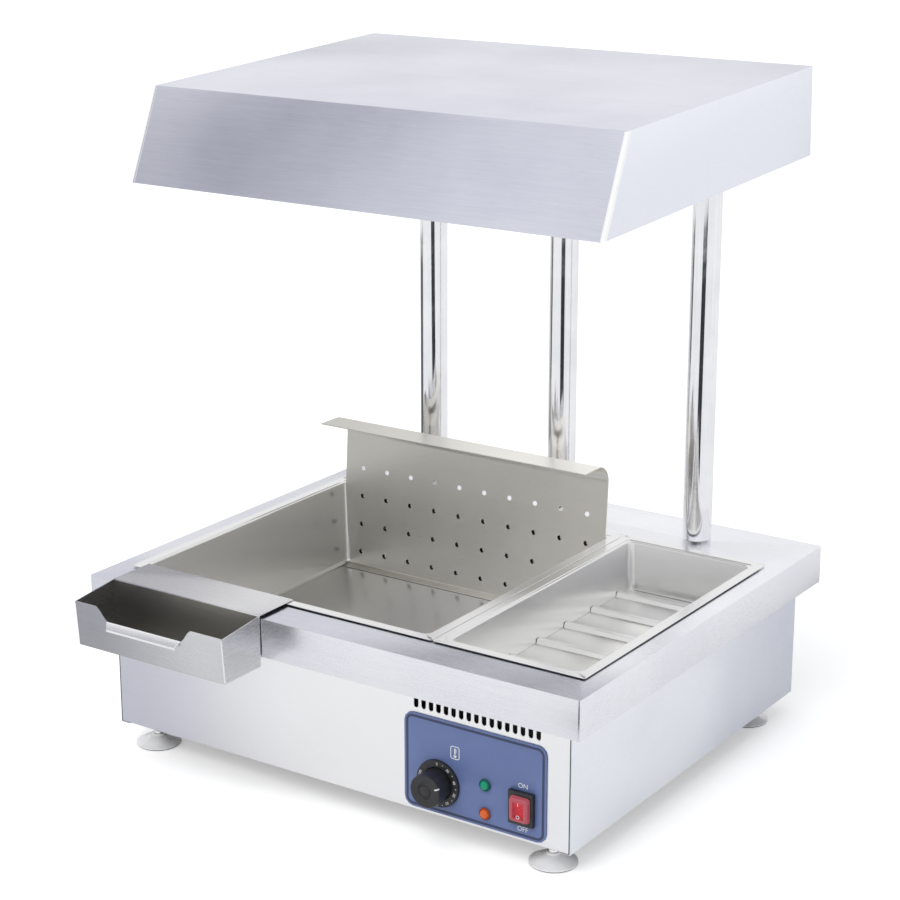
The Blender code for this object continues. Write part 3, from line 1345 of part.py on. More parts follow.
def lamps(frame):
    """Two quartz lamps end to end, each in a pair of slotted ceramic holders."""
    end = LAMP_LENGTH / 2
    half_profile = [
        (0, end),
        (LAMP_CAP_RADIUS, end),
        (LAMP_CAP_RADIUS, end - LAMP_CAP_LENGTH),
        (LAMP_RADIUS, end - LAMP_CAP_LENGTH - LAMP_NECK),
    ]
    profile = half_profile + [(radius, -height) for radius, height in reversed(half_profile)]
    top = LINER_LIFT + REFLECTOR_HEIGHT
    slot = LAMP_CAP_RADIUS + GAP
    for side, sign in (("left", -1), ("right", 1)):
        middle = sign * LAMP_SPACING / 2
        at = (middle, LAMP_Y, LAMP_LIFT)
        turned(f"lamp_{side}", profile, QUARTZ, location=at, rotation=(0, math.pi / 2, 0), parent=frame)
        for place_name, outward in (("inner", -sign), ("outer", sign)):
            x = middle + outward * end
            name = f"lamp_holder_{side}_{place_name}"
            holder = block(
                name,
                (x - HOLDER_WIDTH / 2, LAMP_Y - HOLDER_DEPTH / 2, LAMP_LIFT - HOLDER_BELOW),
                (x + HOLDER_WIDTH / 2, LAMP_Y + HOLDER_DEPTH / 2, top),
                CERAMIC,
                parent=frame,
            )
            bore = rods_cutter(f"{name}_bore", slot, 2 * OVERRUN, [(x, LAMP_Y, LAMP_LIFT)], rotation=(0, math.pi / 2, 0))
            bore.parent = frame
            cut(holder, bore)
            way_in = block(
                f"{name}_slot",
                (x - OVERRUN, LAMP_Y - slot, LAMP_LIFT - HOLDER_BELOW - OVERRUN),
                (x + OVERRUN, LAMP_Y + slot, LAMP_LIFT),
                parent=frame,
            )
            cut(holder, way_in)


def lamp_guard(frame):
    """The grid under the lamp window."""
    top = LINER_LIFT - SHEET - GAP
    half_x = REFLECTOR_LENGTH / 2
    half_y = REFLECTOR_WIDTH / 2 + GUARD_MARGIN
    low = (-half_x, LAMP_Y - half_y, top - GUARD_WIRE)
    high = (half_x, LAMP_Y + half_y, top)
    guard = block("lamp_guard", low, high, BRIGHT_STEEL, parent=frame)
    columns, rows = GUARD_CROSS_COUNT - 1, GUARD_RUNNERS - 1
    step_x = (2 * half_x - GUARD_WIRE) / columns
    step_y = (2 * half_y - GUARD_WIRE) / rows
    windows = []
    for column in range(columns):
        for row in range(rows):
            x = GUARD_WIRE - half_x + column * step_x
            y = LAMP_Y - half_y + GUARD_WIRE + row * step_y
            corner = (x + step_x - GUARD_WIRE, y + step_y - GUARD_WIRE, top + OVERRUN)
            windows.append(((x, y, top - OVERRUN), corner))
    cutter = boxes_cutter("guard_windows", windows)
    cutter.parent = frame
    cut(guard, cutter)


def chip_warmer():
    """Build every piece of the warmer."""
    cutters = control_cutters()
    deck_cover()
    body_panels(cutters)
    base_plate()
    feet()
    heating_well()
    heating_element()
    seam_bar()
    pans()
    box_rack()
    perforated_plate()
    hook_on_tray()
    control_plate(cutters)
    thermostat()
    knob()
    pilot_lights()
    rocker_switch()
    terminal_block()
    cable_gland()
    posts()
    head_rail()
    frame = empty("hood_frame", (0, HOOD_FRONT, HOOD_RIM), (HOOD_PITCH, 0, 0))
    hood(frame)
    reflector(frame)
    lamps(frame)
    lamp_guard(frame)


chip_warmer()
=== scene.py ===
"""Looks of a tabletop chip warmer: a steel cabinet with two lift-out pans under a heat lamp hood."""

import logging
import math
from dataclasses import dataclass
from enum import Enum
from typing import Any, Callable, Sequence

import bmesh
import bpy
from mathutils import Matrix, Vector


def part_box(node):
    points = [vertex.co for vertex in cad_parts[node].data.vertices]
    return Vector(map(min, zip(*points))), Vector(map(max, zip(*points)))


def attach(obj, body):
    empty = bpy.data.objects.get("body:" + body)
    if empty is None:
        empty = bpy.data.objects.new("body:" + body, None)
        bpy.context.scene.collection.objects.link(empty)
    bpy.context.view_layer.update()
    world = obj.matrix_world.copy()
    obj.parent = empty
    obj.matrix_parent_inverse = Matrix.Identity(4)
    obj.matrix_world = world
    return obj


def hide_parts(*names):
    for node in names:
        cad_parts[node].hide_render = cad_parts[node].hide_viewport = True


log = logging.getLogger("chip_warmer")

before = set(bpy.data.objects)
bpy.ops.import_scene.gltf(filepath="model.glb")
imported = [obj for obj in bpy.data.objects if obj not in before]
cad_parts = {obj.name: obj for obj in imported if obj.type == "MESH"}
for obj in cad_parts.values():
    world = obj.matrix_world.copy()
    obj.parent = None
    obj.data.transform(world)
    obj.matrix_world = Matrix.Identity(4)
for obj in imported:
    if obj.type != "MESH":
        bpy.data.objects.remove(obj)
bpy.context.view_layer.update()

Piece = bpy.types.Object
Material = bpy.types.Material
Point2 = tuple[float, float]
Point3 = tuple[float, float, float]
Colour = tuple[float, float, float]
ToWorld = Callable[[float, float, float], Point3]

SMOOTH_ANGLE = math.radians(38)
FLAT_ANGLE = math.radians(0.6)
MERGE_DISTANCE = 0.00002
DOUBLE_DISTANCE = 1e-7
POLE_RADIUS = 1e-6
PUNCH_SIDES = 24
PUNCH_DEPTH = 0.006
LETTER_RESOLUTION = 3


class Brushing(Enum):
    """The way the grain of a steel sheet runs on its front and top faces."""

    ACROSS = (5.0, 1.0, 1.0)
    DEEP = (1.0, 5.0, 1.0)


class Facing(Enum):
    """The way the axis of a turned piece points, as its turn about x."""

    UP = 0.0
    FORWARD = math.pi / 2


class Signal:
    """A socket of a node tree that takes part in Python expressions."""

    def __init__(self, tree: "Tree", socket: bpy.types.NodeSocket) -> None:
        """Keep the tree and the socket."""
        self.tree = tree
        self.socket = socket

    def math(self, operation: str, *others: Any) -> "Signal":
        """The result of one Math node on this signal and further numbers or signals."""
        return self.tree.node("ShaderNodeMath", dict(enumerate((self, *others))), operation=operation)

    def __add__(self, other: Any) -> "Signal":
        """Sum of the two."""
        return self.math("ADD", other)

    def __radd__(self, other: Any) -> "Signal":
        """Sum with a number on the left."""
        return self.math("ADD", other)

    def __sub__(self, other: Any) -> "Signal":
        """Difference of the two."""
        return self.math("SUBTRACT", other)

    def __rsub__(self, other: Any) -> "Signal":
        """Difference from a number on the left."""
        return (self * -1.0) + other

    def __mul__(self, other: Any) -> "Signal":
        """Product of the two."""
        return self.math("MULTIPLY", other)

    def __rmul__(self, other: Any) -> "Signal":
        """Product with a number on the left."""
        return self.math("MULTIPLY", other)

    def clamped(self, low: float, high: float) -> "Signal":
        """The signal held between two numbers."""
        return self.math("MAXIMUM", low).math("MINIMUM", high)

    def ranged(self, low: float, high: float) -> "Signal":
        """The signal's part between two numbers, stretched smoothly to between 0 and 1."""
        values = {0: self, 1: low, 2: high}
        return self.tree.node("ShaderNodeMapRange", values, interpolation_type="SMOOTHSTEP")


class Tree:
    """A node tree with short calls to add nodes."""

    def __init__(self, tree: bpy.types.NodeTree) -> None:
        """Keep the tree."""
        self.tree = tree

    def feed(self, socket: bpy.types.NodeSocket, value: Any) -> None:
        """Set or link one input socket.

        Args:
            socket: The input.
            value: A signal, a number, a tuple, an object or a material.
        """
        if isinstance(value, Signal):
            self.tree.links.new(value.socket, socket)
        elif socket.type == "RGBA":
            socket.default_value = (*value, 1.0)
        else:
            socket.default_value = value

    def node(self, kind: str, values: dict[Any, Any] | None = None, out: Any = 0, **settings: Any) -> Signal:
        """Add one node.

        Args:
            kind: The node's type.
            values: Socket name or index to value or signal.
            out: Name or index of the output that is wanted.
            settings: Properties that are set before its sockets.

        Returns:
            The signal of that output.
        """
        made = self.tree.nodes.new(kind)
        for name, value in settings.items():
            setattr(made, name, value)
        for key, value in (values or {}).items():
            self.feed(made.inputs[key], value)
        return Signal(self, made.outputs[out])


class Shader(Tree):
    """One material's node tree."""

    def __init__(self, name: str) -> None:
        """Make an empty tree that ends in a Principled shader.

        Args:
            name: Name of the material.
        """
        self.material = bpy.data.materials.new(name)
        self.material.use_nodes = True
        super().__init__(self.material.node_tree)
        self.tree.nodes.clear()
        self.principled = self.tree.nodes.new("ShaderNodeBsdfPrincipled")
        self.output = self.tree.nodes.new("ShaderNodeOutputMaterial")
        self.tree.links.new(self.principled.outputs[0], self.output.inputs["Surface"])

    def place(self) -> Signal:
        """Object coordinates."""
        return self.node("ShaderNodeTexCoord", out="Object")

    def split(self, vector: Signal) -> list[Signal]:
        """The x, y and z signals of a vector."""
        made = self.node("ShaderNodeSeparateXYZ", {0: vector})
        return [Signal(self, socket) for socket in made.socket.node.outputs]

    def scaled(self, vector: Signal, scale: Point3) -> Signal:
        """The vector multiplied part by part."""
        return self.node("ShaderNodeVectorMath", {0: vector, 1: scale}, operation="MULTIPLY")

    def noise(self, vector: Signal, scale: float, detail: float = 2.0, roughness: float = 0.5) -> Signal:
        """Fractal noise between about 0 and 1, read at a vector, with detail as its number of octaves."""
        values = {"Vector": vector, "Scale": scale, "Detail": detail, "Roughness": roughness}
        return self.node("ShaderNodeTexNoise", values, "Fac")

    def blend(self, factor: Any, first: Any, second: Any) -> Signal:
        """Mix of two colours, the first where the factor is 0 and the second where it is 1."""
        return self.node("ShaderNodeMix", {0: factor, 6: first, 7: second}, 2, data_type="RGBA")

    def bump(self, height: Signal, strength: float, distance: float) -> Signal:
        """A normal from a height signal, whose 1 stands the distance in metres high."""
        return self.node("ShaderNodeBump", {"Height": height, "Strength": strength, "Distance": distance})

    def finish(self, **values: Any) -> Material:
        """Feed the Principled shader and hand over the material.

        Args:
            values: Socket names, with _ for a space, to values or signals.

        Returns:
            The finished material.
        """
        for name, value in values.items():
            self.feed(self.principled.inputs[name.replace("_", " ")], value)
        return self.material


@dataclass(frozen=True)
class SheetSteel:
    """Satin stainless sheet: fine stretched grain, cloudy gloss and faint marks, with painted light and
    shade: a sweep of tone across x, lighter side faces, and darker front or rear strips.
    """

    name: str
    tint: Colour = (0.80, 0.80, 0.81)
    shade: Colour = (0.68, 0.68, 0.70)
    brushing: Brushing = Brushing.ACROSS
    gloss: float = 0.26
    spread: float = 0.10
    grain: float = 0.05
    marks: float = 0.04
    # Painted light and shade: the tone sweeps from shade to tint across x between these two places, with this
    # weight.
    painted_light_span: Point2 = (-0.34, 0.34)
    painted_light_weight: float = 0.42
    # Painted light: faces that look along x are made this much lighter.
    side_painted_light: float = 0.0
    # Painted shade: up-facing faces darken towards the front edge by this much.
    front_painted_shade: float = 0.0
    # Painted shadow: faces darken towards the rear by this much.
    rear_painted_shade: float = 0.0
    grain_scale: float = 2300.0
    grain_height: float = 0.00006
    streak_scale: float = 420.0
    stretch: float = 2.4

    def strands(self, shader: Shader, place: Signal, brushing: Brushing, scale: float) -> Signal:
        """Noise drawn out along the brushing, with its frequency across it."""
        stretched = tuple(scale / part ** self.stretch for part in brushing.value)
        return shader.noise(shader.scaled(place, stretched), 1.0, 2.0, 0.55)

    def build(self) -> Material:
        """Make the material.

        Returns:
            The finished material.
        """
        shader = Shader(self.name)
        place = shader.place()
        normal = shader.node("ShaderNodeTexCoord", out="Normal")
        facing = shader.split(normal)[0].math("ABSOLUTE").ranged(0.6, 0.8)
        front = self.strands(shader, place, self.brushing, self.grain_scale)
        side = self.strands(shader, place, Brushing.DEEP, self.grain_scale)
        grain = front + facing * (side - front)
        broad = self.strands(shader, place, self.brushing, self.streak_scale)
        cloud = shader.noise(place, 6.0, 3.0, 0.5)
        smudge = shader.noise(place, 30.0, 4.0, 0.62).ranged(0.60, 0.82)
        # Painted light and shade: a sweep of tone across x, darker at one end and lighter at the other.
        across = shader.split(place)[0].ranged(*self.painted_light_span)
        rest = 1.0 - self.painted_light_weight
        mottle = (grain * 0.25 + broad * 0.15 + cloud * 0.60).ranged(0.08, 0.92)
        # Painted light: facing adds lighter tone to the side faces.
        tone = mottle * rest + across * self.painted_light_weight + facing * self.side_painted_light
        # Painted shade: a darker up-facing strip along the front edge.
        if self.front_painted_shade:
            upward = shader.split(normal)[2].ranged(0.6, 0.9)
            tone = tone - upward * shader.split(place)[1].ranged(-0.12, -0.20) * self.front_painted_shade
        # Painted shadow: darker towards the rear, standing for the shadow under the deck's overhang.
        if self.rear_painted_shade:
            tone = tone - shader.split(place)[1].ranged(-0.04, 0.30) * self.rear_painted_shade
        colour = shader.blend(tone.clamped(0.0, 1.0), self.shade, self.tint)
        marked = shader.blend(smudge * self.marks, colour, tuple(part * 0.72 for part in self.shade))
        rough = self.gloss + (grain - 0.5) * self.spread + (cloud - 0.5) * 0.08 + smudge * self.marks
        return shader.finish(
            Base_Color=marked,
            Metallic=1.0,
            Roughness=rough.clamped(0.05, 0.8),
            Normal=shader.bump(grain, self.grain, self.grain_height),
        )


@dataclass(frozen=True)
class BrightMetal:
    """Polished or plated metal: near mirror, with fine drawing lines and faint haze."""

    name: str
    tint: Colour = (0.86, 0.86, 0.88)
    shade: Colour = (0.74, 0.74, 0.77)
    gloss: float = 0.07
    haze: float = 0.10
    lines: Point3 = (420.0, 420.0, 6.0)
    wave: float = 0.05

    def build(self) -> Material:
        """Make the material.

        Returns:
            The finished material.
        """
        shader = Shader(self.name)
        place = shader.place()
        drawn = shader.noise(shader.scaled(place, self.lines), 1.0, 2.0)
        cloud = shader.noise(place, 22.0, 3.0, 0.6)
        spots = shader.noise(place, 160.0, 2.0).ranged(0.66, 0.8)
        colour = shader.blend((cloud * 0.6 + drawn * 0.4).ranged(0.3, 0.7), self.shade, self.tint)
        rough = (self.gloss + cloud.ranged(0.45, 0.75) * self.haze + spots * 0.08).clamped(0.03, 0.7)
        return shader.finish(
            Base_Color=colour,
            Metallic=1.0,
            Roughness=rough,
            Normal=shader.bump(drawn + cloud * 0.4, self.wave, 0.00008),
        )


@dataclass(frozen=True)
class FootChrome:
    """Chrome of the feet: a painted contact shadow along the ground edge, a hazy bell painted white as a
    bright painted reflection, and a mirror stem.
    """

    name: str
    tint: Colour = (1.0, 1.0, 1.0)
    shade: Colour = (0.93, 0.93, 0.95)
    # Painted contact shadow: the dark colour along the bottom edge.
    painted_contact_shadow: Colour = (0.05, 0.05, 0.06)
    contact_shadow_levels: Point2 = (0.0007, 0.0018)
    bell_levels: Point2 = (0.0110, 0.0135)

    def build(self) -> Material:
        """Make the material.

        Returns:
            The finished material.
        """
        shader = Shader(self.name)
        place = shader.place()
        level = shader.split(place)[2]
        haze = shader.noise(place, 140.0, 3.0, 0.6)
        cloud = shader.noise(place, 45.0, 2.0, 0.5).ranged(0.35, 0.65)
        bright = shader.blend(cloud, self.shade, self.tint)
        stem = level.ranged(*self.bell_levels)
        # Painted contact shadow at the bottom edge; the bell is white and barely metallic under a coat, a
        # painted bright reflection in place of chrome.
        return shader.finish(
            Base_Color=shader.blend(level.ranged(*self.contact_shadow_levels), self.painted_contact_shadow, bright),
            Metallic=stem * 0.90 + 0.05,
            Roughness=(haze * 0.16 + 0.10).clamped(0.05, 0.5),
            Coat_Weight=0.6 - stem * 0.5,
            Normal=shader.bump(haze, 0.03, 0.00008),
        )


@dataclass(frozen=True)
class HotMetal:
    """Metal that lives in the heat: browned in bands, dull and lightly scaled."""

    name: str
    cold: Colour = (0.30, 0.29, 0.28)
    hot: Colour = (0.17, 0.13, 0.10)

    def build(self) -> Material:
        """Make the material.

        Returns:
            The finished material.
        """
        shader = Shader(self.name)
        place = shader.place()
        band = shader.noise(place, 14.0, 3.0, 0.6).ranged(0.35, 0.7)
        scale = shader.noise(place, 480.0, 4.0, 0.7)
        colour = shader.blend(band, self.cold, self.hot)
        return shader.finish(
            Base_Color=colour,
            Metallic=band * -0.4 + 0.9,
            Roughness=scale * 0.3 + 0.35,
            Normal=shader.bump(scale, 0.35, 0.0001),
        )


@dataclass(frozen=True)
class Moulded:
    """Moulded plastic: fine skin, light wear and a little dust in its gloss."""

    name: str
    colour: Colour
    worn: Colour
    gloss: float = 0.34
    skin: float = 0.12
    skin_scale: float = 1600.0
    coat: float = 0.0

    def build(self) -> Material:
        """Make the material.

        Returns:
            The finished material.
        """
        shader = Shader(self.name)
        place = shader.place()
        skin = shader.noise(place, self.skin_scale, 3.0, 0.6)
        dust = shader.noise(place, 60.0, 4.0, 0.65).ranged(0.42, 0.78)
        colour = shader.blend(dust * 0.55, self.colour, self.worn)
        return shader.finish(
            Base_Color=colour,
            Roughness=(self.gloss + dust * 0.14 + (skin - 0.5) * 0.08).clamped(0.08, 0.9),
            Coat_Weight=self.coat,
            Coat_Roughness=0.12,
            Normal=shader.bump(skin, self.skin, 0.00005),
        )


@dataclass(frozen=True)
class PaintedPlate:
    """Painted or printed metal: an even satin colour over a faint orange peel."""

    name: str
    colour: Colour
    pale: Colour
    gloss: float = 0.38

    def build(self) -> Material:
        """Make the material.

        Returns:
            The finished material.
        """
        shader = Shader(self.name)
        place = shader.place()
        peel = shader.noise(place, 900.0, 2.0)
        cloud = shader.noise(place, 18.0, 3.0, 0.6)
        speck = shader.noise(place, 420.0, 2.0).ranged(0.70, 0.82)
        colour = shader.blend(cloud.ranged(0.25, 0.75), self.colour, self.pale)
        specked = shader.blend(speck * 0.25, colour, self.pale)
        return shader.finish(
            Base_Color=specked,
            Roughness=(self.gloss + (cloud - 0.5) * 0.16 + speck * 0.12).clamped(0.1, 0.9),
            Specular_IOR_Level=0.45,
            Normal=shader.bump(peel, 0.10, 0.00005),
        )


@dataclass(frozen=True)
class ClearPart:
    """Clear or tinted plastic or glass, with light scuffs."""

    name: str
    colour: Colour
    scuffed: Colour
    gloss: float = 0.06
    transmission: float = 0.85
    glow: Colour = (0.0, 0.0, 0.0)
    glow_strength: float = 0.0

    def build(self) -> Material:
        """Make the material.

        Returns:
            The finished material.
        """
        shader = Shader(self.name)
        place = shader.place()
        scuff = shader.noise(place, 240.0, 4.0, 0.65).ranged(0.45, 0.8)
        swirl = shader.noise(place, 40.0, 3.0)
        colour = shader.blend(scuff * 0.6, self.colour, self.scuffed)
        return shader.finish(
            Base_Color=colour,
            Roughness=self.gloss + scuff * 0.12 + swirl * 0.04,
            Transmission_Weight=self.transmission,
            IOR=1.46,
            Emission_Color=self.glow,
            Emission_Strength=self.glow_strength,
            Normal=shader.bump(swirl, 0.04, 0.0001),
        )


@dataclass(frozen=True)
class SplashFilm:
    """A soft tinted cover: clearer over the rocker, cloudier around it."""

    name: str
    middle: Vector
    half: Point2
    clear: Colour = (0.90, 0.06, 0.09)
    cloudy: Colour = (0.52, 0.10, 0.13)
    clear_alpha: float = 0.30
    cloudy_alpha: float = 0.88

    def build(self) -> Material:
        """Make the material.

        Returns:
            The finished material.
        """
        shader = Shader(self.name)
        place = shader.place()
        x, _, z = shader.split(place)
        across = (x - self.middle.x).math("ABSOLUTE") * (1.0 / self.half[0])
        up = (z - self.middle.z).math("ABSOLUTE") * (1.0 / self.half[1])
        away = across.math("MAXIMUM", up).ranged(0.92, 1.10)
        ridge = shader.noise(place, 900.0, 2.0)
        haze = shader.noise(place, 160.0, 3.0, 0.6)
        tinted = (away + (haze - 0.5) * 0.2).clamped(0.0, 1.0)
        return shader.finish(
            Base_Color=shader.blend(tinted, self.clear, self.cloudy),
            Roughness=haze * 0.20 + 0.14,
            Alpha=away * (self.cloudy_alpha - self.clear_alpha) + self.clear_alpha,
            Normal=shader.bump(ridge, 0.10, 0.0001),
        )


class Palette:
    """Every finish of the object, each made once."""

    def __init__(self) -> None:
        """Make the materials."""
        finishes = (
            # The deck: a painted sweep of light across x and painted shade on its front strip.
            SheetSteel(
                "deck_steel", (0.96, 0.965, 1.0), (0.57, 0.58, 0.66), gloss=0.27, spread=0.05,
                grain=0.02, marks=0.02, painted_light_span=(-0.30, 0.06), front_painted_shade=0.48,
            ),
            SheetSteel(
                "panel_steel", (1.0, 1.0, 1.0), (0.57, 0.57, 0.65), gloss=0.33, painted_light_span=(-0.27, -0.03),
                painted_light_weight=0.8,
            ),
            # The side panels: bluer, darker colours as a painted reflection, lighter side faces and a painted
            # shadow towards the rear.
            SheetSteel(
                "side_steel", (0.94, 0.955, 1.0), (0.58, 0.60, 0.69), gloss=0.33, painted_light_span=(-0.34, 0.30),
                side_painted_light=0.2, rear_painted_shade=0.62,
            ),
            # The hood: its side faces carry a strong painted light.
            SheetSteel(
                "hood_steel", (0.85, 0.865, 0.935), (0.52, 0.53, 0.615), gloss=0.30, painted_light_weight=0.15,
                side_painted_light=0.85,
            ),
            SheetSteel(
                "tray_steel", (0.76, 0.76, 0.77), (0.26, 0.26, 0.30), gloss=0.27, painted_light_span=(-0.25, -0.08),
                painted_light_weight=0.7, side_painted_light=0.12,
            ),
            # Painted shade: a darker steel for the trough's floor and rear face.
            SheetSteel(
                "tray_inside", (0.50, 0.49, 0.45), (0.32, 0.31, 0.285), gloss=0.40, painted_light_span=(-0.25, -0.08),
            ),
            SheetSteel("tray_lip", (0.98, 0.98, 0.98), (0.90, 0.90, 0.92), gloss=0.24),
            SheetSteel("pan_steel", (0.84, 0.84, 0.84), (0.74, 0.74, 0.74), Brushing.DEEP, gloss=0.22),
            SheetSteel("rack_steel", (0.92, 0.92, 0.90), (0.82, 0.82, 0.81), gloss=0.34),
            SheetSteel(
                "plate_steel", (0.95, 0.93, 0.87), (0.46, 0.45, 0.41), gloss=0.30, painted_light_span=(-0.27, 0.09),
                painted_light_weight=0.75,
            ),
            SheetSteel("inner_steel", (0.62, 0.61, 0.60), (0.48, 0.47, 0.46), gloss=0.42, marks=0.12),
            BrightMetal("post_polish", (0.96, 0.96, 0.97), (0.84, 0.84, 0.86)),
            FootChrome("foot_chrome"),
            BrightMetal(
                "zinc_plate", (0.72, 0.72, 0.68), (0.56, 0.56, 0.53), 0.26, 0.20, (500.0, 500.0, 500.0), 0.2,
            ),
            BrightMetal(
                "seam_bright", (1.0, 1.0, 1.0), (0.97, 0.97, 0.98), 0.20, 0.06, (300.0, 300.0, 12.0), 0.02,
            ),
            BrightMetal(
                "reflector_bright", (0.86, 0.86, 0.87), (0.76, 0.76, 0.78), 0.14, 0.12, (9.0, 400.0, 400.0),
            ),
            BrightMetal(
                "joint_shadow", (0.32, 0.32, 0.35), (0.25, 0.25, 0.28), 0.40, 0.10, (300.0, 300.0, 12.0),
            ),
            BrightMetal(
                "joint_dark", (0.10, 0.10, 0.12), (0.06, 0.06, 0.07), 0.40, 0.10, (300.0, 300.0, 12.0),
            ),
            HotMetal("element_sheath"),
            HotMetal("clip_steel", (0.46, 0.45, 0.43), (0.34, 0.31, 0.27)),
            PaintedPlate("control_blue", (0.122, 0.172, 0.362), (0.140, 0.192, 0.390)),
            PaintedPlate("border_slate", (0.032, 0.044, 0.100), (0.042, 0.056, 0.118)),
            PaintedPlate("white_print", (0.78, 0.78, 0.78), (0.86, 0.86, 0.86), 0.5),
            Moulded("black_plastic", (0.012, 0.012, 0.013), (0.030, 0.030, 0.032), 0.28, coat=0.15),
            Moulded("knob_black", (0.016, 0.016, 0.019), (0.040, 0.040, 0.045), 0.34, 0.16, 1300.0),
            Moulded("dial_black", (0.014, 0.014, 0.017), (0.032, 0.032, 0.036), 0.40),
            Moulded("rocker_red", (0.82, 0.022, 0.040), (0.86, 0.06, 0.08), 0.26, coat=0.3),
            Moulded("holder_ceramic", (0.72, 0.70, 0.64), (0.62, 0.58, 0.50), 0.5, 0.3, 700.0),
            Moulded("terminal_plastic", (0.60, 0.57, 0.48), (0.48, 0.45, 0.37), 0.45),
            SplashFilm("cover_clear", Span.of("rocker").middle, (0.0062, 0.0084)),
            ClearPart(
                "lens_green", (0.0, 0.30, 0.18), (0.03, 0.40, 0.26), 0.10, 0.25, (0.0, 0.30, 0.18), 0.12,
            ),
            ClearPart(
                "lens_orange", (0.72, 0.13, 0.02), (0.80, 0.22, 0.06), 0.10, 0.25, (0.72, 0.13, 0.02), 0.12,
            ),
            ClearPart("rim_green", (0.0, 0.12, 0.08), (0.04, 0.20, 0.14), 0.14, 0.20),
            ClearPart("rim_orange", (0.42, 0.07, 0.01), (0.52, 0.14, 0.05), 0.14, 0.20),
            ClearPart("lamp_quartz", (0.93, 0.92, 0.90), (0.96, 0.95, 0.92), 0.06, 0.75),
        )
        self.made: dict[str, Material] = {finish.name: finish.build() for finish in finishes}

    def __getitem__(self, name: str) -> Material:
        """The finished material of that name."""
        return self.made[name]


@dataclass(frozen=True)
class Span:
    """Where a CAD node stands."""

    low: Vector
    high: Vector

    @classmethod
    def of(cls, node: str) -> "Span":
        """The box of a CAD node."""
        low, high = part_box(node)
        return cls(Vector([float(part) for part in low]), Vector([float(part) for part in high]))

    @property
    def middle(self) -> Vector:
        """The centre of the box."""
        return (self.low + self.high) * 0.5

    @property
    def size(self) -> Vector:
        """The lengths of the box."""
        return self.high - self.low

    def outline(self, inset: float, radius: float, steps: int, up: int = 2) -> list[Point2]:
        """A rounded outline inside the box.

        Args:
            inset: How far inside the box's sides it runs.
            radius: Radius of its corners.
            steps: Faces in each corner.
            up: Axis of its second coordinate, 1 or 2.

        Returns:
            The outline's points.
        """
        low = (self.low.x + inset, self.low[up] + inset)
        high = (self.high.x - inset, self.high[up] - inset)
        return rounded_outline(low, high, radius, steps)


def placed(name: str, data: bpy.types.ID) -> Piece:
    """Put a new object in the scene.

    Args:
        name: Name of the object.
        data: Its mesh, curve, camera or light.

    Returns:
        The object.
    """
    piece = bpy.data.objects.new(name, data)
    bpy.context.scene.collection.objects.link(piece)
    return piece


def smoothed(mesh: bpy.types.Mesh) -> None:
    """Shade a mesh smooth between its sharp bends."""
    mesh.shade_smooth()
    mesh.set_sharp_from_angle(angle=SMOOTH_ANGLE)


def piece_from(shape: bmesh.types.BMesh, name: str, finish: Material | None = None) -> Piece:
    """Turn a bmesh into a linked object with smooth shading and sharp bends.

    Args:
        shape: The mesh, which is freed.
        name: Name of the object and its mesh.
        finish: Its material.

    Returns:
        The object.
    """
    mesh = bpy.data.meshes.new(name)
    shape.to_mesh(mesh)
    shape.free()
    smoothed(mesh)
    if finish is not None:
        mesh.materials.append(finish)
    return placed(name, mesh)


def evaluated(piece: Piece) -> bpy.types.Mesh:
    """A plain mesh of what a piece and its modifiers show.

    Args:
        piece: A linked object.

    Returns:
        The new mesh.
    """
    graph = bpy.context.evaluated_depsgraph_get()
    graph.update()
    return bpy.data.meshes.new_from_object(piece.evaluated_get(graph))


def baked(piece: Piece) -> None:
    """Replace a piece's mesh and modifiers by the plain mesh that they make.

    Args:
        piece: An object with live modifiers.
    """
    mesh, old = evaluated(piece), piece.data
    piece.modifiers.clear()
    piece.data = mesh
    mesh.name = piece.name
    if old.users == 0:
        bpy.data.meshes.remove(old)


def edged(piece: Piece, width: float, segments: int = 2, angle: float = 32.0) -> Piece:
    """Round the sharp edges of a piece and bake the result.

    Args:
        piece: The piece.
        width: Width of the rounding.
        segments: Its number of faces.
        angle: Edges sharper than this, in degrees, are rounded.

    Returns:
        The same piece.
    """
    bevel = piece.modifiers.new("edges", "BEVEL")
    bevel.width = width
    bevel.segments = segments
    bevel.limit_method = "ANGLE"
    bevel.angle_limit = math.radians(angle)
    bevel.miter_outer = "MITER_ARC"
    baked(piece)
    smoothed(piece.data)
    return piece


def refined(node: str, finish: Material, width: float, segments: int = 2, flatten: bool = True) -> Piece:
    """A merged copy of a CAD node with rounded edges.

    Args:
        node: Name of the node.
        finish: Material of the copy.
        width: Width of the rounding.
        segments: Number of faces of the rounding.
        flatten: Whether flat areas become single faces first, which sheets full of holes don't stand.

    Returns:
        The new piece, named after the node.
    """
    shape = bmesh.new()
    shape.from_mesh(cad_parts[node].data)
    bmesh.ops.remove_doubles(shape, verts=shape.verts, dist=MERGE_DISTANCE)
    bmesh.ops.dissolve_degenerate(shape, dist=MERGE_DISTANCE, edges=shape.edges)
    if flatten:
        bmesh.ops.dissolve_limit(shape, angle_limit=FLAT_ANGLE, verts=shape.verts, edges=shape.edges)
    points = [vertex.co.copy() for vertex in shape.verts]
    shape.verts.index_update()
    faces = [[vertex.index for vertex in face.verts] for face in shape.faces]
    shape.free()
    clean = bmesh.new()
    made = [clean.verts.new(point) for point in points]
    for face in faces:
        clean.faces.new([made[index] for index in face])
    return edged(piece_from(clean, f"{node}_look", finish), width, segments)


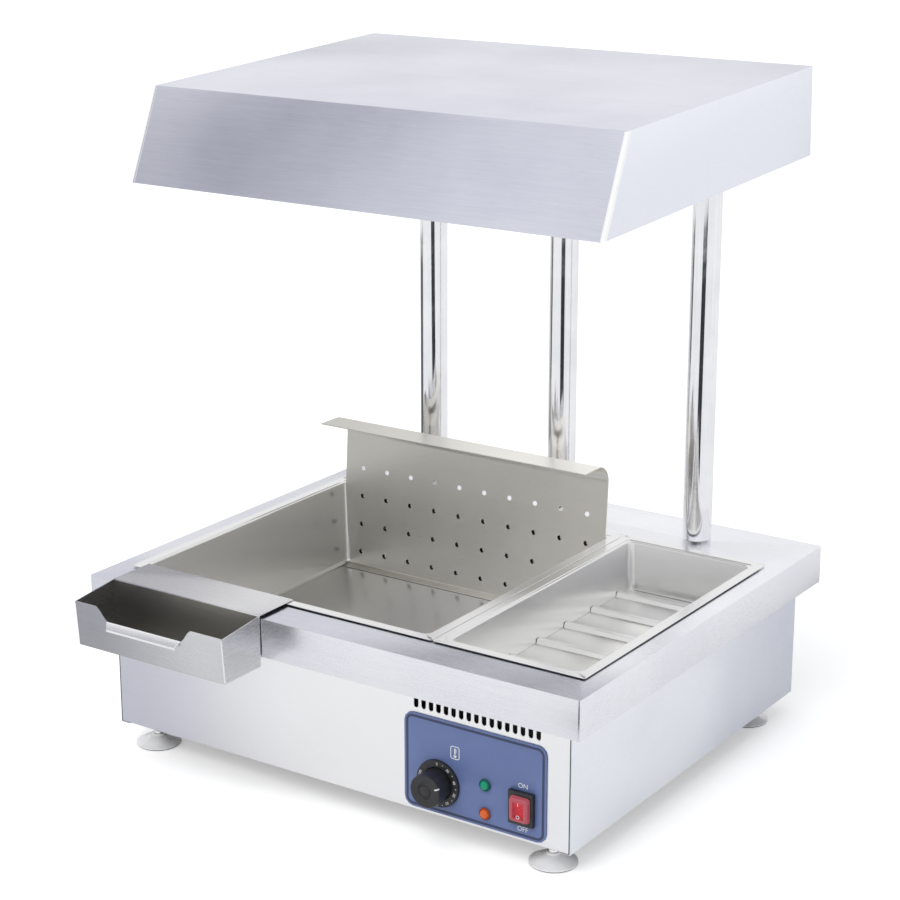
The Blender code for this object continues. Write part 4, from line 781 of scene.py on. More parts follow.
def joined(name: str, parts: Sequence[Piece]) -> Piece:
    """One object out of several plain ones, with their materials kept.

    Args:
        name: Name of the new object.
        parts: Plain mesh objects with materials, which are removed.

    Returns:
        The joined object.
    """
    shape = bmesh.new()
    finishes: list[Material] = []
    for part in parts:
        before = len(shape.faces)
        shape.from_mesh(part.data)
        shape.faces.ensure_lookup_table()
        slots = []
        for finish in part.data.materials:
            if finish not in finishes:
                finishes.append(finish)
            slots.append(finishes.index(finish))
        for face in shape.faces[before:]:
            face.material_index = slots[face.material_index]
    mesh = bpy.data.meshes.new(name)
    shape.to_mesh(mesh)
    shape.free()
    for finish in finishes:
        mesh.materials.append(finish)
    for part in parts:
        bpy.data.objects.remove(part)
    mesh.set_sharp_from_angle(angle=SMOOTH_ANGLE)
    return placed(name, mesh)


def quarter_turn(steps: int) -> list[float]:
    """The angles of a quarter turn in equal steps."""
    return [math.pi / 2 * step / steps for step in range(steps + 1)]


def rectangle(low: Point2, high: Point2) -> list[Point2]:
    """The four corners between a low and a high one, anticlockwise."""
    return [low, (high[0], low[1]), high, (low[0], high[1])]


def rounded_outline(low: Point2, high: Point2, radius: float, steps: int) -> list[Point2]:
    """A rectangle with round corners, anticlockwise.

    Args:
        low: Its lower corner.
        high: Its upper corner.
        radius: Radius of the corners.
        steps: Faces in each corner.

    Returns:
        The outline's points.
    """
    centres = (
        (high[0] - radius, low[1] + radius, -math.pi / 2),
        (high[0] - radius, high[1] - radius, 0.0),
        (low[0] + radius, high[1] - radius, math.pi / 2),
        (low[0] + radius, low[1] + radius, math.pi),
    )
    points = []
    for x, y, start in centres:
        for turn in quarter_turn(steps):
            points.append((x + radius * math.cos(start + turn), y + radius * math.sin(start + turn)))
    return points


def loft(name: str, rings: Sequence[Sequence[Point3]], finish: Material, around: bool = False) -> Piece:
    """A skin over rings that have the same number of points.

    Args:
        name: Name of the piece.
        rings: The rings in order.
        finish: Its material.
        around: Whether the last ring joins the first, instead of a cap on each.

    Returns:
        The piece.
    """
    shape = bmesh.new()
    rows = [[shape.verts.new(point) for point in ring] for ring in rings]
    count = len(rows[0])
    following = rows[1:] + rows[:1] if around else rows[1:]
    for first, second in zip(rows, following):
        for i in range(count):
            j = (i + 1) % count
            shape.faces.new((first[i], first[j], second[j], second[i]))
    if not around:
        shape.faces.new(rows[0][::-1])
        shape.faces.new(rows[-1])
    bmesh.ops.remove_doubles(shape, verts=shape.verts, dist=DOUBLE_DISTANCE)
    bmesh.ops.recalc_face_normals(shape, faces=shape.faces)
    return piece_from(shape, name, finish)


def placing(at: Point3, facing: Facing) -> Matrix:
    """The matrix that puts a turned piece's axis at a point and turns it its way."""
    return Matrix.Translation(at) @ Matrix.Rotation(facing.value, 4, "X")


def turned(
    name: str, profile: Sequence[Point2], at: Point3, facing: Facing, finish: Material, steps: int
) -> Piece:
    """A piece turned from a profile of radius and height.

    Args:
        name: Name of the piece.
        profile: Points of radius and height.
        at: Where the axis starts.
        facing: The way the axis points.
        finish: Its material.
        steps: Faces around the axis.

    Returns:
        The piece.
    """
    matrix = placing(at, facing)
    angles = [2 * math.pi * step / steps for step in range(steps)]
    rings = []
    for radius, height in profile:
        reach = max(radius, POLE_RADIUS)
        ring = [Vector((reach * math.cos(angle), reach * math.sin(angle), height)) for angle in angles]
        rings.append([tuple(matrix @ point) for point in ring])
    hollow = profile[0][0] > 0 and profile[-1][0] > 0
    return loft(name, rings, finish, around=hollow)


def rounded_path(points: Sequence[Point2], radius: float, steps: int) -> list[Point2]:
    """An open path with its inner corners rounded.

    Args:
        points: The path's corners.
        radius: Radius of each bend.
        steps: Faces in each bend.

    Returns:
        The rounded path.
    """
    path = [points[0]]
    for before, corner, after in zip(points, points[1:], points[2:]):
        here = Vector(corner)
        back = (Vector(before) - here).normalized()
        ahead = (Vector(after) - here).normalized()
        half = back.angle(ahead) / 2
        reach = radius / math.tan(half)
        centre = here + (back + ahead).normalized() * (radius / math.sin(half))
        first = here + back * reach - centre
        last = here + ahead * reach - centre
        sweep = first.angle_signed(last)
        for step in range(steps + 1):
            turn = Matrix.Rotation(-sweep * step / steps, 2)
            path.append(tuple(centre + turn @ first))
    path.append(points[-1])
    return path


def band_outline(path: Sequence[Point2], thickness: float) -> list[Point2]:
    """The closed outline of a sheet that lies to the left of a path.

    Args:
        path: The path of one face.
        thickness: The sheet's thickness.

    Returns:
        The outline's points.
    """
    other = []
    for index, point in enumerate(path):
        before = Vector(path[max(index - 1, 0)])
        after = Vector(path[min(index + 1, len(path) - 1)])
        here = Vector(point)
        first = (here - before).normalized() if index else (after - here).normalized()
        second = (after - here).normalized() if index < len(path) - 1 else first
        normal = Vector((-(first.y + second.y), first.x + second.x)).normalized()
        lean = max(normal.dot(Vector((-first.y, first.x))), 0.3)
        other.append(tuple(here + normal * thickness / lean))
    return list(path) + other[::-1]


def extruded(
    name: str, outline: Sequence[Point2], to_world: ToWorld, start: float, stop: float, finish: Material
) -> Piece:
    """A flat outline drawn out between two depths, with to_world to turn both into places."""
    return loft(name, [[to_world(u, v, depth) for u, v in outline] for depth in (start, stop)], finish)


def along_x(u: float, v: float, depth: float) -> Point3:
    """A profile of y and z, drawn out along x."""
    return (depth, u, v)


def along_y(u: float, v: float, depth: float) -> Point3:
    """An outline of x and z, drawn out along y."""
    return (u, depth, v)


def along_z(u: float, v: float, depth: float) -> Point3:
    """An outline of x and y, drawn out along z."""
    return (u, v, depth)


def frame_strip(
    name: str, outer: Sequence[Point2], inner: Sequence[Point2], start: float, stop: float, finish: Material
) -> Piece:
    """A flat closed band between two outlines of x and z with as many points, from start back to stop."""
    turns = ((outer, start), (inner, start), (inner, stop), (outer, stop))
    return loft(name, [[along_y(u, v, depth) for u, v in ring] for ring, depth in turns], finish, around=True)


def carried(piece: Piece, body: str, slot: str, *nodes: str) -> None:
    """Fix a finished piece to its body.

    Args:
        piece: The piece.
        body: CAD body that it rides on.
        slot: The record's material slot; not used.
        nodes: CAD nodes that it stands for.
    """
    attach(piece, body)
    if nodes:
        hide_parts(*nodes)
    log.info("%s: %d faces on %s", piece.name, len(piece.data.polygons), body)


class Growth(Tree):
    """A Geometry Nodes tree that is built, run once and baked."""

    def __init__(self, name: str, **sizes: float) -> None:
        """Make a tree with named inputs.

        Args:
            name: Name of the tree.
            sizes: Input names and their values.
        """
        super().__init__(bpy.data.node_groups.new(name, "GeometryNodeTree"))
        self.values = sizes
        self.sockets: dict[str, str] = {}
        sides = self.tree.interface
        sides.new_socket("Geometry", in_out="INPUT", socket_type="NodeSocketGeometry")
        for size, value in sizes.items():
            kind = "NodeSocketInt" if isinstance(value, int) else "NodeSocketFloat"
            self.sockets[size] = sides.new_socket(size, in_out="INPUT", socket_type=kind).identifier
        sides.new_socket("Geometry", in_out="OUTPUT", socket_type="NodeSocketGeometry")
        self.input = self.tree.nodes.new("NodeGroupInput")
        self.output = self.tree.nodes.new("NodeGroupOutput")

    def given(self, name: str) -> Signal:
        """The signal of a named input."""
        return Signal(self, self.input.outputs[name])

    def run(self, piece: Piece, shape: Signal, finish: Material) -> Piece:
        """End the tree, run it on a piece and bake it.

        Args:
            piece: The object that carries the tree.
            shape: The last geometry.
            finish: Material of the result.

        Returns:
            The baked piece.
        """
        real = self.node("GeometryNodeRealizeInstances", {"Geometry": shape})
        painted = self.node("GeometryNodeSetMaterial", {"Geometry": real, "Material": finish})
        self.feed(self.output.inputs[0], painted)
        modifier = piece.modifiers.new(self.tree.name, "NODES")
        modifier.node_group = self.tree
        for name, identifier in self.sockets.items():
            modifier[identifier] = self.values[name]
        baked(piece)
        piece.data.materials.clear()
        piece.data.materials.append(finish)
        smoothed(piece.data)
        return piece


def perforated(
    piece: Piece, finish: Material, centre: Vector, counts: tuple[int, int], pitch: float, radius: float,
    slope: float,
) -> Piece:
    """Punch a grid of round holes along y through a sheet that leans back.

    Args:
        piece: The sheet.
        finish: Its material.
        centre: Centre of the grid.
        counts: Columns and rows.
        pitch: Distance between holes.
        radius: Radius of a hole.
        slope: How far the sheet goes back for each metre of height.

    Returns:
        The same piece, punched.
    """
    growth = Growth("perforations", columns=counts[0], rows=counts[1], pitch=pitch, radius=radius)
    columns, rows, gap = (growth.given(size) for size in ("columns", "rows", "pitch"))
    extent = {"Size X": (columns - 1.0) * gap, "Size Y": (rows - 1.0) * gap}
    grid = growth.node("GeometryNodeMeshGrid", {**extent, "Vertices X": columns, "Vertices Y": rows})
    leaning = {"Geometry": grid, "Translation": centre, "Rotation": (math.pi / 2 - math.atan(slope), 0, 0)}
    upright = growth.node("GeometryNodeTransform", leaning)
    sizes = {"Vertices": PUNCH_SIDES, "Radius": growth.given("radius"), "Depth": PUNCH_DEPTH}
    punch = growth.node("GeometryNodeMeshCylinder", sizes)
    holes = {"Points": upright, "Instance": punch, "Rotation": (math.pi / 2, 0, 0)}
    punches = growth.node("GeometryNodeInstanceOnPoints", holes)
    cutters = growth.node("GeometryNodeRealizeInstances", {"Geometry": punches})
    sheet = growth.given("Geometry")
    cut = growth.node("GeometryNodeMeshBoolean", {0: sheet, 1: cutters}, operation="DIFFERENCE")
    return growth.run(piece, cut, finish)


def ring_of_marks(
    name: str, centre: Vector, radius: float, mark: Point3, count: int, sweep: Point2, finish: Material
) -> Piece:
    """Short printed marks on a circle that faces forward.

    Args:
        name: Name of the piece.
        centre: Centre of the circle.
        radius: Radius at the middle of the marks.
        mark: Width, thickness and length of a mark.
        count: Number of marks.
        sweep: Angles of the first and last mark, clockwise from the top, in degrees.
        finish: Material of the print.

    Returns:
        The piece.
    """
    growth = Growth("ring_of_marks", count=count, radius=radius, first=sweep[0], last=sweep[1])
    total, reach, first, last = (growth.given(size) for size in ("count", "radius", "first", "last"))
    points = growth.node("GeometryNodeMeshLine", {"Count": total, "Offset": (0, 0, 0)})
    share = growth.node("GeometryNodeInputIndex").math("DIVIDE", total - 1.0)
    angle = (share * (last - first) + first).math("RADIANS")
    right, above = angle.math("SINE") * reach, angle.math("COSINE") * reach
    offset = growth.node("ShaderNodeCombineXYZ", {0: right, 2: above})
    at = growth.node("ShaderNodeVectorMath", {0: offset, 1: centre}, operation="ADD")
    moved = growth.node("GeometryNodeSetPosition", {"Geometry": points, "Position": at})
    tick = growth.node("GeometryNodeMeshCube", {"Size": mark})
    lean = growth.node("ShaderNodeCombineXYZ", {1: angle})
    values = {"Points": moved, "Instance": tick, "Rotation": lean}
    marks = growth.node("GeometryNodeInstanceOnPoints", values)
    return growth.run(piece_from(bmesh.new(), name), marks, finish)


def repeated(name: str, pattern: Piece, places: Sequence[Point3], finish: Material) -> Piece:
    """Copies of a pattern at several places, as one mesh.

    Args:
        name: Name of the piece.
        pattern: The object that is repeated, which is removed.
        places: Where each copy stands.
        finish: Material of the copies.

    Returns:
        The piece.
    """
    shape = bmesh.new()
    for place in places:
        shape.verts.new(place)
    growth = Growth("copies_at_places", scale=1.0)
    copy = growth.node("GeometryNodeObjectInfo", {"Object": pattern}, "Geometry")
    values = {"Points": growth.given("Geometry"), "Instance": copy, "Scale": growth.given("scale")}
    copies = growth.node("GeometryNodeInstanceOnPoints", values)
    piece = growth.run(piece_from(shape, name), copies, finish)
    bpy.data.objects.remove(pattern)
    return piece


@dataclass
class Assembly:
    """A group of pieces that takes its finishes from the palette."""

    palette: Palette

    def remade(
        self, node: str, finish: str, width: float, segments: int = 2, body: str = "cabinet",
        slot: str = "satin_steel", flatten: bool = True,
    ) -> None:
        """Put a finished copy with rounded edges in a CAD node's place."""
        carried(refined(node, self.palette[finish], width, segments, flatten), body, slot, node)

    def dressed(self, finish: str, *nodes: str) -> None:
        """Give CAD nodes whose shape is right a better material.

        Args:
            finish: Name of the finish.
            nodes: Names of the nodes.
        """
        for name in nodes:
            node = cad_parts[name]
            node.data.materials.clear()
            node.data.materials.append(self.palette[finish])
            log.info("%s: kept, finished as %s", name, finish)


@dataclass
class Cabinet(Assembly):
    """Deck, panels, base and feet."""

    deck_edge: float = 0.0006
    panel_edge: float = 0.0004
    joint_width: float = 0.0009
    joint_proud: float = 0.0001
    joint_sunk: float = 0.0003
    joint_below_top: float = 0.001
    foot_thread_pitch: float = 0.0015
    foot_steps: int = 10
    foot_sides: int = 72
    foot_spread: float = 1.14

    def build(self) -> None:
        """Make and place the pieces."""
        self.remade("deck_cover", "deck_steel", self.deck_edge, 3)
        for node in ("front_panel", "rear_panel", "side_panel_left", "side_panel_right"):
            finish = "side_steel" if node.startswith("side") else "panel_steel"
            self.remade(node, finish, self.panel_edge, 1, flatten=node != "front_panel")
        self.joints()
        self.feet()
        self.dressed("inner_steel", "base_plate")

    def joints(self) -> None:
        """The thin dark joint where each side panel laps the front panel."""
        front, half = Span.of("front_panel"), self.joint_width / 2
        start, stop = front.low.y - self.joint_proud, front.low.y + self.joint_sunk
        top = front.high.z - self.joint_below_top
        for side, middle in (("left", front.low.x), ("right", front.high.x)):
            outline = rectangle((middle - half, front.low.z), (middle + half, top))
            line = extruded(f"panel_joint_{side}", outline, along_y, start, stop, self.palette["joint_dark"])
            carried(line, "cabinet", "satin_steel")

    def feet(self) -> None:
        """Four chrome bell feet and their plated nuts."""
        chrome = self.palette["foot_chrome"]
        for corner in ("front_left", "front_right", "rear_left", "rear_right"):
            node = f"foot_{corner}"
            span = Span.of(node)
            at = (span.middle.x, span.middle.y, span.low.z)
            piece = turned(f"{node}_look", self.foot_profile(span), at, Facing.UP, chrome, self.foot_sides)
            carried(piece, node, "foot_chrome", node)
            self.dressed("zinc_plate", f"foot_nut_{corner}")

    def foot_profile(self, span: Span) -> list[Point2]:
        """Profile of a foot, from its underside to the end of its stem.

        Args:
            span: Box of the foot.

        Returns:
            Points of radius and height.
        """
        reach, height, pitch = span.size.x / 2 * self.foot_spread, span.size.z, self.foot_thread_pitch
        neck, stem = reach * 0.29, reach * 0.205
        rim, bell, collar = reach * 0.11, reach * 0.42, reach * 0.54
        profile = [(0.0, 0.0), (reach - rim * 0.4, 0.0), (reach, rim * 0.4), (reach, rim)]
        for step in range(self.foot_steps + 1):
            share = step / self.foot_steps
            out = neck + (reach - neck) * (1 - share ** 0.75)
            profile.append((min(out, reach), rim + (bell - rim) * share))
        profile += [(neck, collar - rim * 0.3), (neck - rim * 0.3, collar), (stem, collar)]
        level = collar + pitch
        while level < height - pitch:
            profile += [(stem, level - pitch * 0.5), (stem * 0.90, level)]
            level += pitch
        profile += [(stem, height - pitch * 0.6), (stem * 0.85, height), (0.0, height)]
        return profile


@dataclass
class HeatingWell(Assembly):
    """The heated well under the pans, whose shapes are kept."""

    def build(self) -> None:
        """Finish the pieces."""
        self.dressed("inner_steel", "heating_well", "seam_bar")
        self.dressed("element_sheath", "heating_element")
        self.dressed("clip_steel", "element_clip_left", "element_clip_right")


@dataclass
class ServingPans(Assembly):
    """The two lift-out pans, the box rack and the perforated plate."""

    sheet: float = 0.0009
    flange: float = 0.012
    step: float = 0.0014
    step_drop: float = 0.0007
    taper: float = 0.007
    corner: float = 0.008
    fillet: float = 0.005
    rim_bend: float = 0.0016
    rim_corner: float = 0.0020
    rim_edge: float = 0.0004
    plate_bend: float = 0.022
    plate_sheet: float = 0.0010
    plate_edge: float = 0.00025
    plate_edge_angle: float = 50.0
    plate_toe: float = 0.015
    plate_toe_bend: float = 0.0018
    plate_slope: float = 0.0714
    plate_narrowing: float = 0.010
    hole_pitch: float = 0.034
    hole_radius: float = 0.0028
    hole_counts: tuple[int, int] = (10, 4)
    top_row_below_plate: float = 0.0625
    rack_edge: float = 0.0006
    rack_reach: float = 0.0013
    rack_side: float = 0.002
    rib_first: float = 0.103
    rib_pitch: float = 0.055
    rib_count: int = 6
    rib_width: float = 0.009
    rib_rise: float = 0.005
    rib_slope: float = 0.002
    rib_end_sheet: float = 0.0008
    rib_end_out: float = 0.0005
    rib_end_below_top: float = 0.0002

    def build(self) -> None:
        """Make and place the pieces."""
        for side in ("left", "right"):
            self.pan(f"pan_{side}")
        self.plate()
        self.rack()
        self.rib_ends()

    def rack(self) -> None:
        """The box rack, with its two long sides moved outwards."""
        rack, span = refined("box_rack", self.palette["rack_steel"], self.rack_edge), Span.of("box_rack")
        for vertex in rack.data.vertices:
            out = vertex.co.x - span.middle.x
            if abs(out) > span.size.x / 2 - self.rack_side:
                vertex.co.x += math.copysign(self.rack_reach, out)
        carried(rack, "box_rack", "satin_steel", "box_rack")

    def rib_ends(self) -> None:
        """Small plates that close the ends of the rack's hollow ribs."""
        span, steel = Span.of("box_rack"), self.palette["rack_steel"]
        foot, top = span.high.z - self.rib_rise - self.sheet, span.high.z - self.rib_end_below_top
        half, slope = self.rib_width / 2, self.rib_slope
        outline = [(-half, foot), (half, foot), (half - slope, top), (slope - half, top)]
        pattern = extruded("rib_end_pattern", outline, along_x, 0.0, self.rib_end_sheet, steel)
        first = Span.of("deck_cover").low.y + self.rib_first
        ends = (span.low.x - self.rack_reach, span.high.x + self.rib_end_out)
        places = [(x, first + self.rib_pitch * index, 0.0) for index in range(self.rib_count) for x in ends]
        carried(repeated("rack_rib_ends", pattern, places, steel), "box_rack", "satin_steel")

    def pan(self, node: str) -> None:
        """One deep pan with a flat flange.

        Args:
            node: Name of the CAD pan.
        """
        span = Span.of(node)
        rings = []
        for inset, radius, height in self.pan_section(span.low.z, span.high.z):
            rings.append([along_z(u, v, height) for u, v in span.outline(inset, radius, 6, up=1)])
        carried(loft(f"{node}_look", rings, self.palette["pan_steel"]), node, "satin_steel", node)

    def pan_section(self, low: float, high: float) -> list[Point3]:
        """The pan's section from the inner floor over the flange to the underside.

        Args:
            low: Underside of the floor.
            high: Top of the flange.

        Returns:
            Inset, corner radius and height of each ring.
        """
        sheet, bend, fillet, corner = self.sheet, self.rim_bend, self.fillet, self.corner
        wall_top = self.flange + sheet
        wall_foot = wall_top + self.taper
        rings: list[Point3] = []
        for angle in quarter_turn(5):
            inset = wall_foot + fillet * (1 - math.sin(angle))
            radius = corner + fillet * (math.sin(angle) - 1) * 0.6
            rings.append((inset, radius, low + sheet + fillet * (1 - math.cos(angle))))
        level = high - self.step_drop
        for angle in quarter_turn(4):
            inset = wall_top - bend * (1 - math.cos(angle))
            rings.append((inset, corner, level - bend * (1 - math.sin(angle))))
        flat = wall_top - bend - self.step
        rings += [(flat, corner - 0.002, level), (flat - 0.0005, corner - 0.002, high)]
        edge, rim = self.rim_edge, self.rim_corner
        rings += [(edge, rim + 0.0002, high), (0.0, rim, high - edge), (0.0, rim, high - sheet)]
        rings.append((self.flange - sheet, corner, level - sheet))
        rings += [(self.flange, corner, level - sheet - bend), (wall_foot - sheet, corner, low + fillet)]
        rings.append((wall_foot + fillet - sheet, corner * 0.5, low))
        return rings

    def plate(self) -> None:
        """The perforated plate, leaning back and bent forward at its top and foot."""
        span, deck = Span.of("perforated_plate"), Span.of("deck_cover").high.z
        slope, bend, top, foot = self.plate_slope, self.plate_bend, span.high.z, span.low.z
        lean = math.atan(slope)
        bend_foot = top - bend - bend * math.sin(lean)
        rear = span.high.y - bend * (1 - math.cos(lean)) - (bend_foot - foot) * slope
        corner = rear + (top - foot) * slope
        straight = [(rear - self.plate_toe, foot), (rear, foot), (corner, top), (span.low.y, top)]
        path = [straight[0]] + rounded_path(straight[:3], self.plate_toe_bend, 5)[1:-1]
        path.append((rear + (deck - foot) * slope, deck))
        path += rounded_path(straight[1:], bend, 14)[1:]
        rings = []
        for side in (-1.0, 1.0):
            ring = []
            for y, z in band_outline(path, self.plate_sheet):
                narrow = self.plate_narrowing if z < deck - 0.0005 else 0.0
                ring.append((span.middle.x + side * (span.size.x / 2 - narrow), y, z))
            rings.append(ring)
        steel = self.palette["plate_steel"]
        piece = loft("perforated_plate_look", rings, steel)
        middle = top - self.top_row_below_plate - self.hole_pitch * (self.hole_counts[1] - 1) / 2
        centre = Vector((span.middle.x, rear + (middle - foot) * slope, middle))
        perforated(piece, steel, centre, self.hole_counts, self.hole_pitch, self.hole_radius, slope)
        edged(piece, self.plate_edge, 1, self.plate_edge_angle)
        carried(piece, "perforated_plate", "satin_steel", "perforated_plate")


@dataclass
class HookOnTray(Assembly):
    """The salt and scoop trough that hangs in front of the deck."""

    sheet: float = 0.0010
    edge: float = 0.0004
    end_edge: float = 0.0003
    bend: float = 0.0018
    standoff: float = 0.0010
    front_inset: float = 0.0032
    lean: float = 0.0040
    front_drop: float = 0.0062
    corner: float = 0.0016
    cut: Point2 = (0.0275, 0.0390)
    cut_depth: float = 0.0145
    shoulder: float = 0.0165
    shoulder_steps: int = 14
    shade_sheet_drop: float = 0.0012
    lip_reach: float = 0.0064
    lip_fall: float = 0.0056
    lip_hem: float = 0.0024
    lip_cut: float = 0.0050
    lip_bend: float = 0.0008
    lip_start: float = 0.92
    weld_width: float = 0.0013
    weld_proud: float = 0.00012
    weld_levels: Point2 = (0.0012, 0.0022)

    def __post_init__(self) -> None:
        """Work out the tray's place: the fold's face to the deck, the wall's top face, floor and top."""
        self.span = Span.of("hook_on_tray")
        self.rear = Span.of("deck_cover").low.y - self.standoff
        self.front = self.span.low.y + self.front_inset
        self.floor = self.span.low.z
        self.top = self.span.high.z - self.front_drop

    def build(self) -> None:
        """Make and place the piece."""
        parts = [self.back(), self.wall(), *self.ends(), self.lip(), *self.welds(), *self.painted_shade_sheets()]
        carried(joined("hook_on_tray_look", parts), "hook_on_tray", "satin_steel", "hook_on_tray")

    def face(self, level: float) -> float:
        """Outer face of the leaning front wall at a height."""
        return self.front + self.lean * (self.top - level) / (self.top - self.floor)

    def painted_shade_sheets(self) -> list[Piece]:
        """Dark sheets on the trough's floor and rear face, as painted shade inside the trough.

        Returns:
            The two parts.
        """
        # Painted shade: the darker steel on these sheets stands for the shade inside the trough.
        span, floor, sheet, inside = self.span, self.floor, self.sheet, self.palette["tray_inside"]
        left, right, rear = span.low.x + sheet, span.high.x - sheet, self.rear
        base = rectangle((left, self.front + self.lean), (right, rear - sheet))
        back = rectangle((left, floor), (right, span.high.z - self.shade_sheet_drop))
        return [
            extruded("tray_floor", base, along_z, floor, floor + sheet * 1.5, inside),
            extruded("tray_lining", back, along_y, rear - sheet * 1.1, rear - sheet * 0.5, inside),
        ]

    def back(self) -> Piece:
        """The sheet that lies on the pan's flange and folds down in front of the deck.

        Returns:
            The part.
        """
        span, face, steel = self.span, self.rear - self.sheet, self.palette["tray_steel"]
        path = [(span.high.y, span.high.z), (face, span.high.z), (face, span.low.z)]
        outline = band_outline(rounded_path(path, self.bend, 6), self.sheet)
        return edged(extruded("tray_back", outline, along_x, span.low.x, span.high.x, steel), self.edge)

    def wall(self) -> Piece:
        """The leaning front wall with its S-shouldered cut.

        Returns:
            The part.
        """
        left, right, floor, top = self.span.low.x, self.span.high.x, self.floor, self.top
        start, stop = left + self.cut[0], right - self.cut[1]
        falling = []
        for step in range(self.shoulder_steps + 1):
            share = step / self.shoulder_steps
            drop = self.cut_depth * (1 - math.cos(math.pi * share)) / 2
            falling.append((start + self.shoulder * share, top - drop))
        outline = [(left, floor), (right, floor), (right, top - self.corner), (right - self.corner, top)]
        outline += [(start + stop - x, z) for x, z in falling] + falling[::-1]
        outline += [(left + self.corner, top), (left, top - self.corner)]

        def leaning(u: float, v: float, depth: float) -> Point3:
            """A point of the wall in the object's frame."""
            return (u, self.face(v) + depth, v)

        steel = self.palette["tray_steel"]
        return edged(extruded("tray_wall", outline, leaning, 0.0, self.sheet, steel), self.edge * 0.8)

    def ends(self) -> list[Piece]:
        """The two end walls, ground flush with the front.

        Returns:
            The parts.
        """
        span, skin, steel = self.span, self.sheet * 0.5, self.palette["tray_steel"]
        outline = [
            (self.rear - skin, self.floor + skin),
            (self.rear - skin, span.high.z - skin),
            (self.front + skin, self.top - 0.0004),
            (self.front + self.lean + skin, self.floor + skin),
        ]
        parts = []
        for name, start in (("left", span.low.x), ("right", span.high.x - self.sheet)):
            part = extruded(f"tray_end_{name}", outline, along_x, start, start + self.sheet, steel)
            parts.append(edged(part, self.end_edge, 1))
        return parts

    def welds(self) -> list[Piece]:
        """The bright ground welds down the tray's two front corners.

        Returns:
            The parts.
        """
        wide, proud, (above_floor, below_top) = self.weld_width, self.weld_proud, self.weld_levels
        section = [(wide, -proud), (0.0002, -proud), (-proud, 0.0002)]
        section += [(-proud, wide * 0.4), (wide * 0.6, wide * 0.4)]
        parts = []
        for side, x, inward in (("left", self.span.low.x, 1.0), ("right", self.span.high.x, -1.0)):
            rings = []
            for level in (self.floor + above_floor, self.top - below_top):
                face = self.face(level)
                rings.append([(x + inward * across, face + deep, level) for across, deep in section])
            parts.append(loft(f"tray_weld_{side}", rings, self.palette["tray_lip"]))
        return parts

    def lip(self) -> Piece:
        """The folded lip along the cut, sloping out and down to a short hem.

        Returns:
            The part.
        """
        front, level, inset = self.front, self.top - self.cut_depth, self.shoulder * self.lip_start
        start, stop = self.span.low.x + self.cut[0] + inset, self.span.high.x - self.cut[1] - inset
        tip, foot = front - self.lip_reach + 0.0010, level - self.lip_fall
        path = [(front + self.sheet, level), (front + 0.0002, level), (tip, foot)]
        path.append((tip + 0.0008, foot - self.lip_hem))
        outline = band_outline(rounded_path(path, self.lip_bend, 4), self.sheet * 0.8)
        rings = []
        for place, side in ((start, 1.0), (stop, -1.0)):
            slant = side * self.lip_cut / self.lip_reach
            rings.append([(place + slant * max(front - y, 0.0), y, z) for y, z in outline])
        return loft("tray_lip", rings, self.palette["tray_lip"])


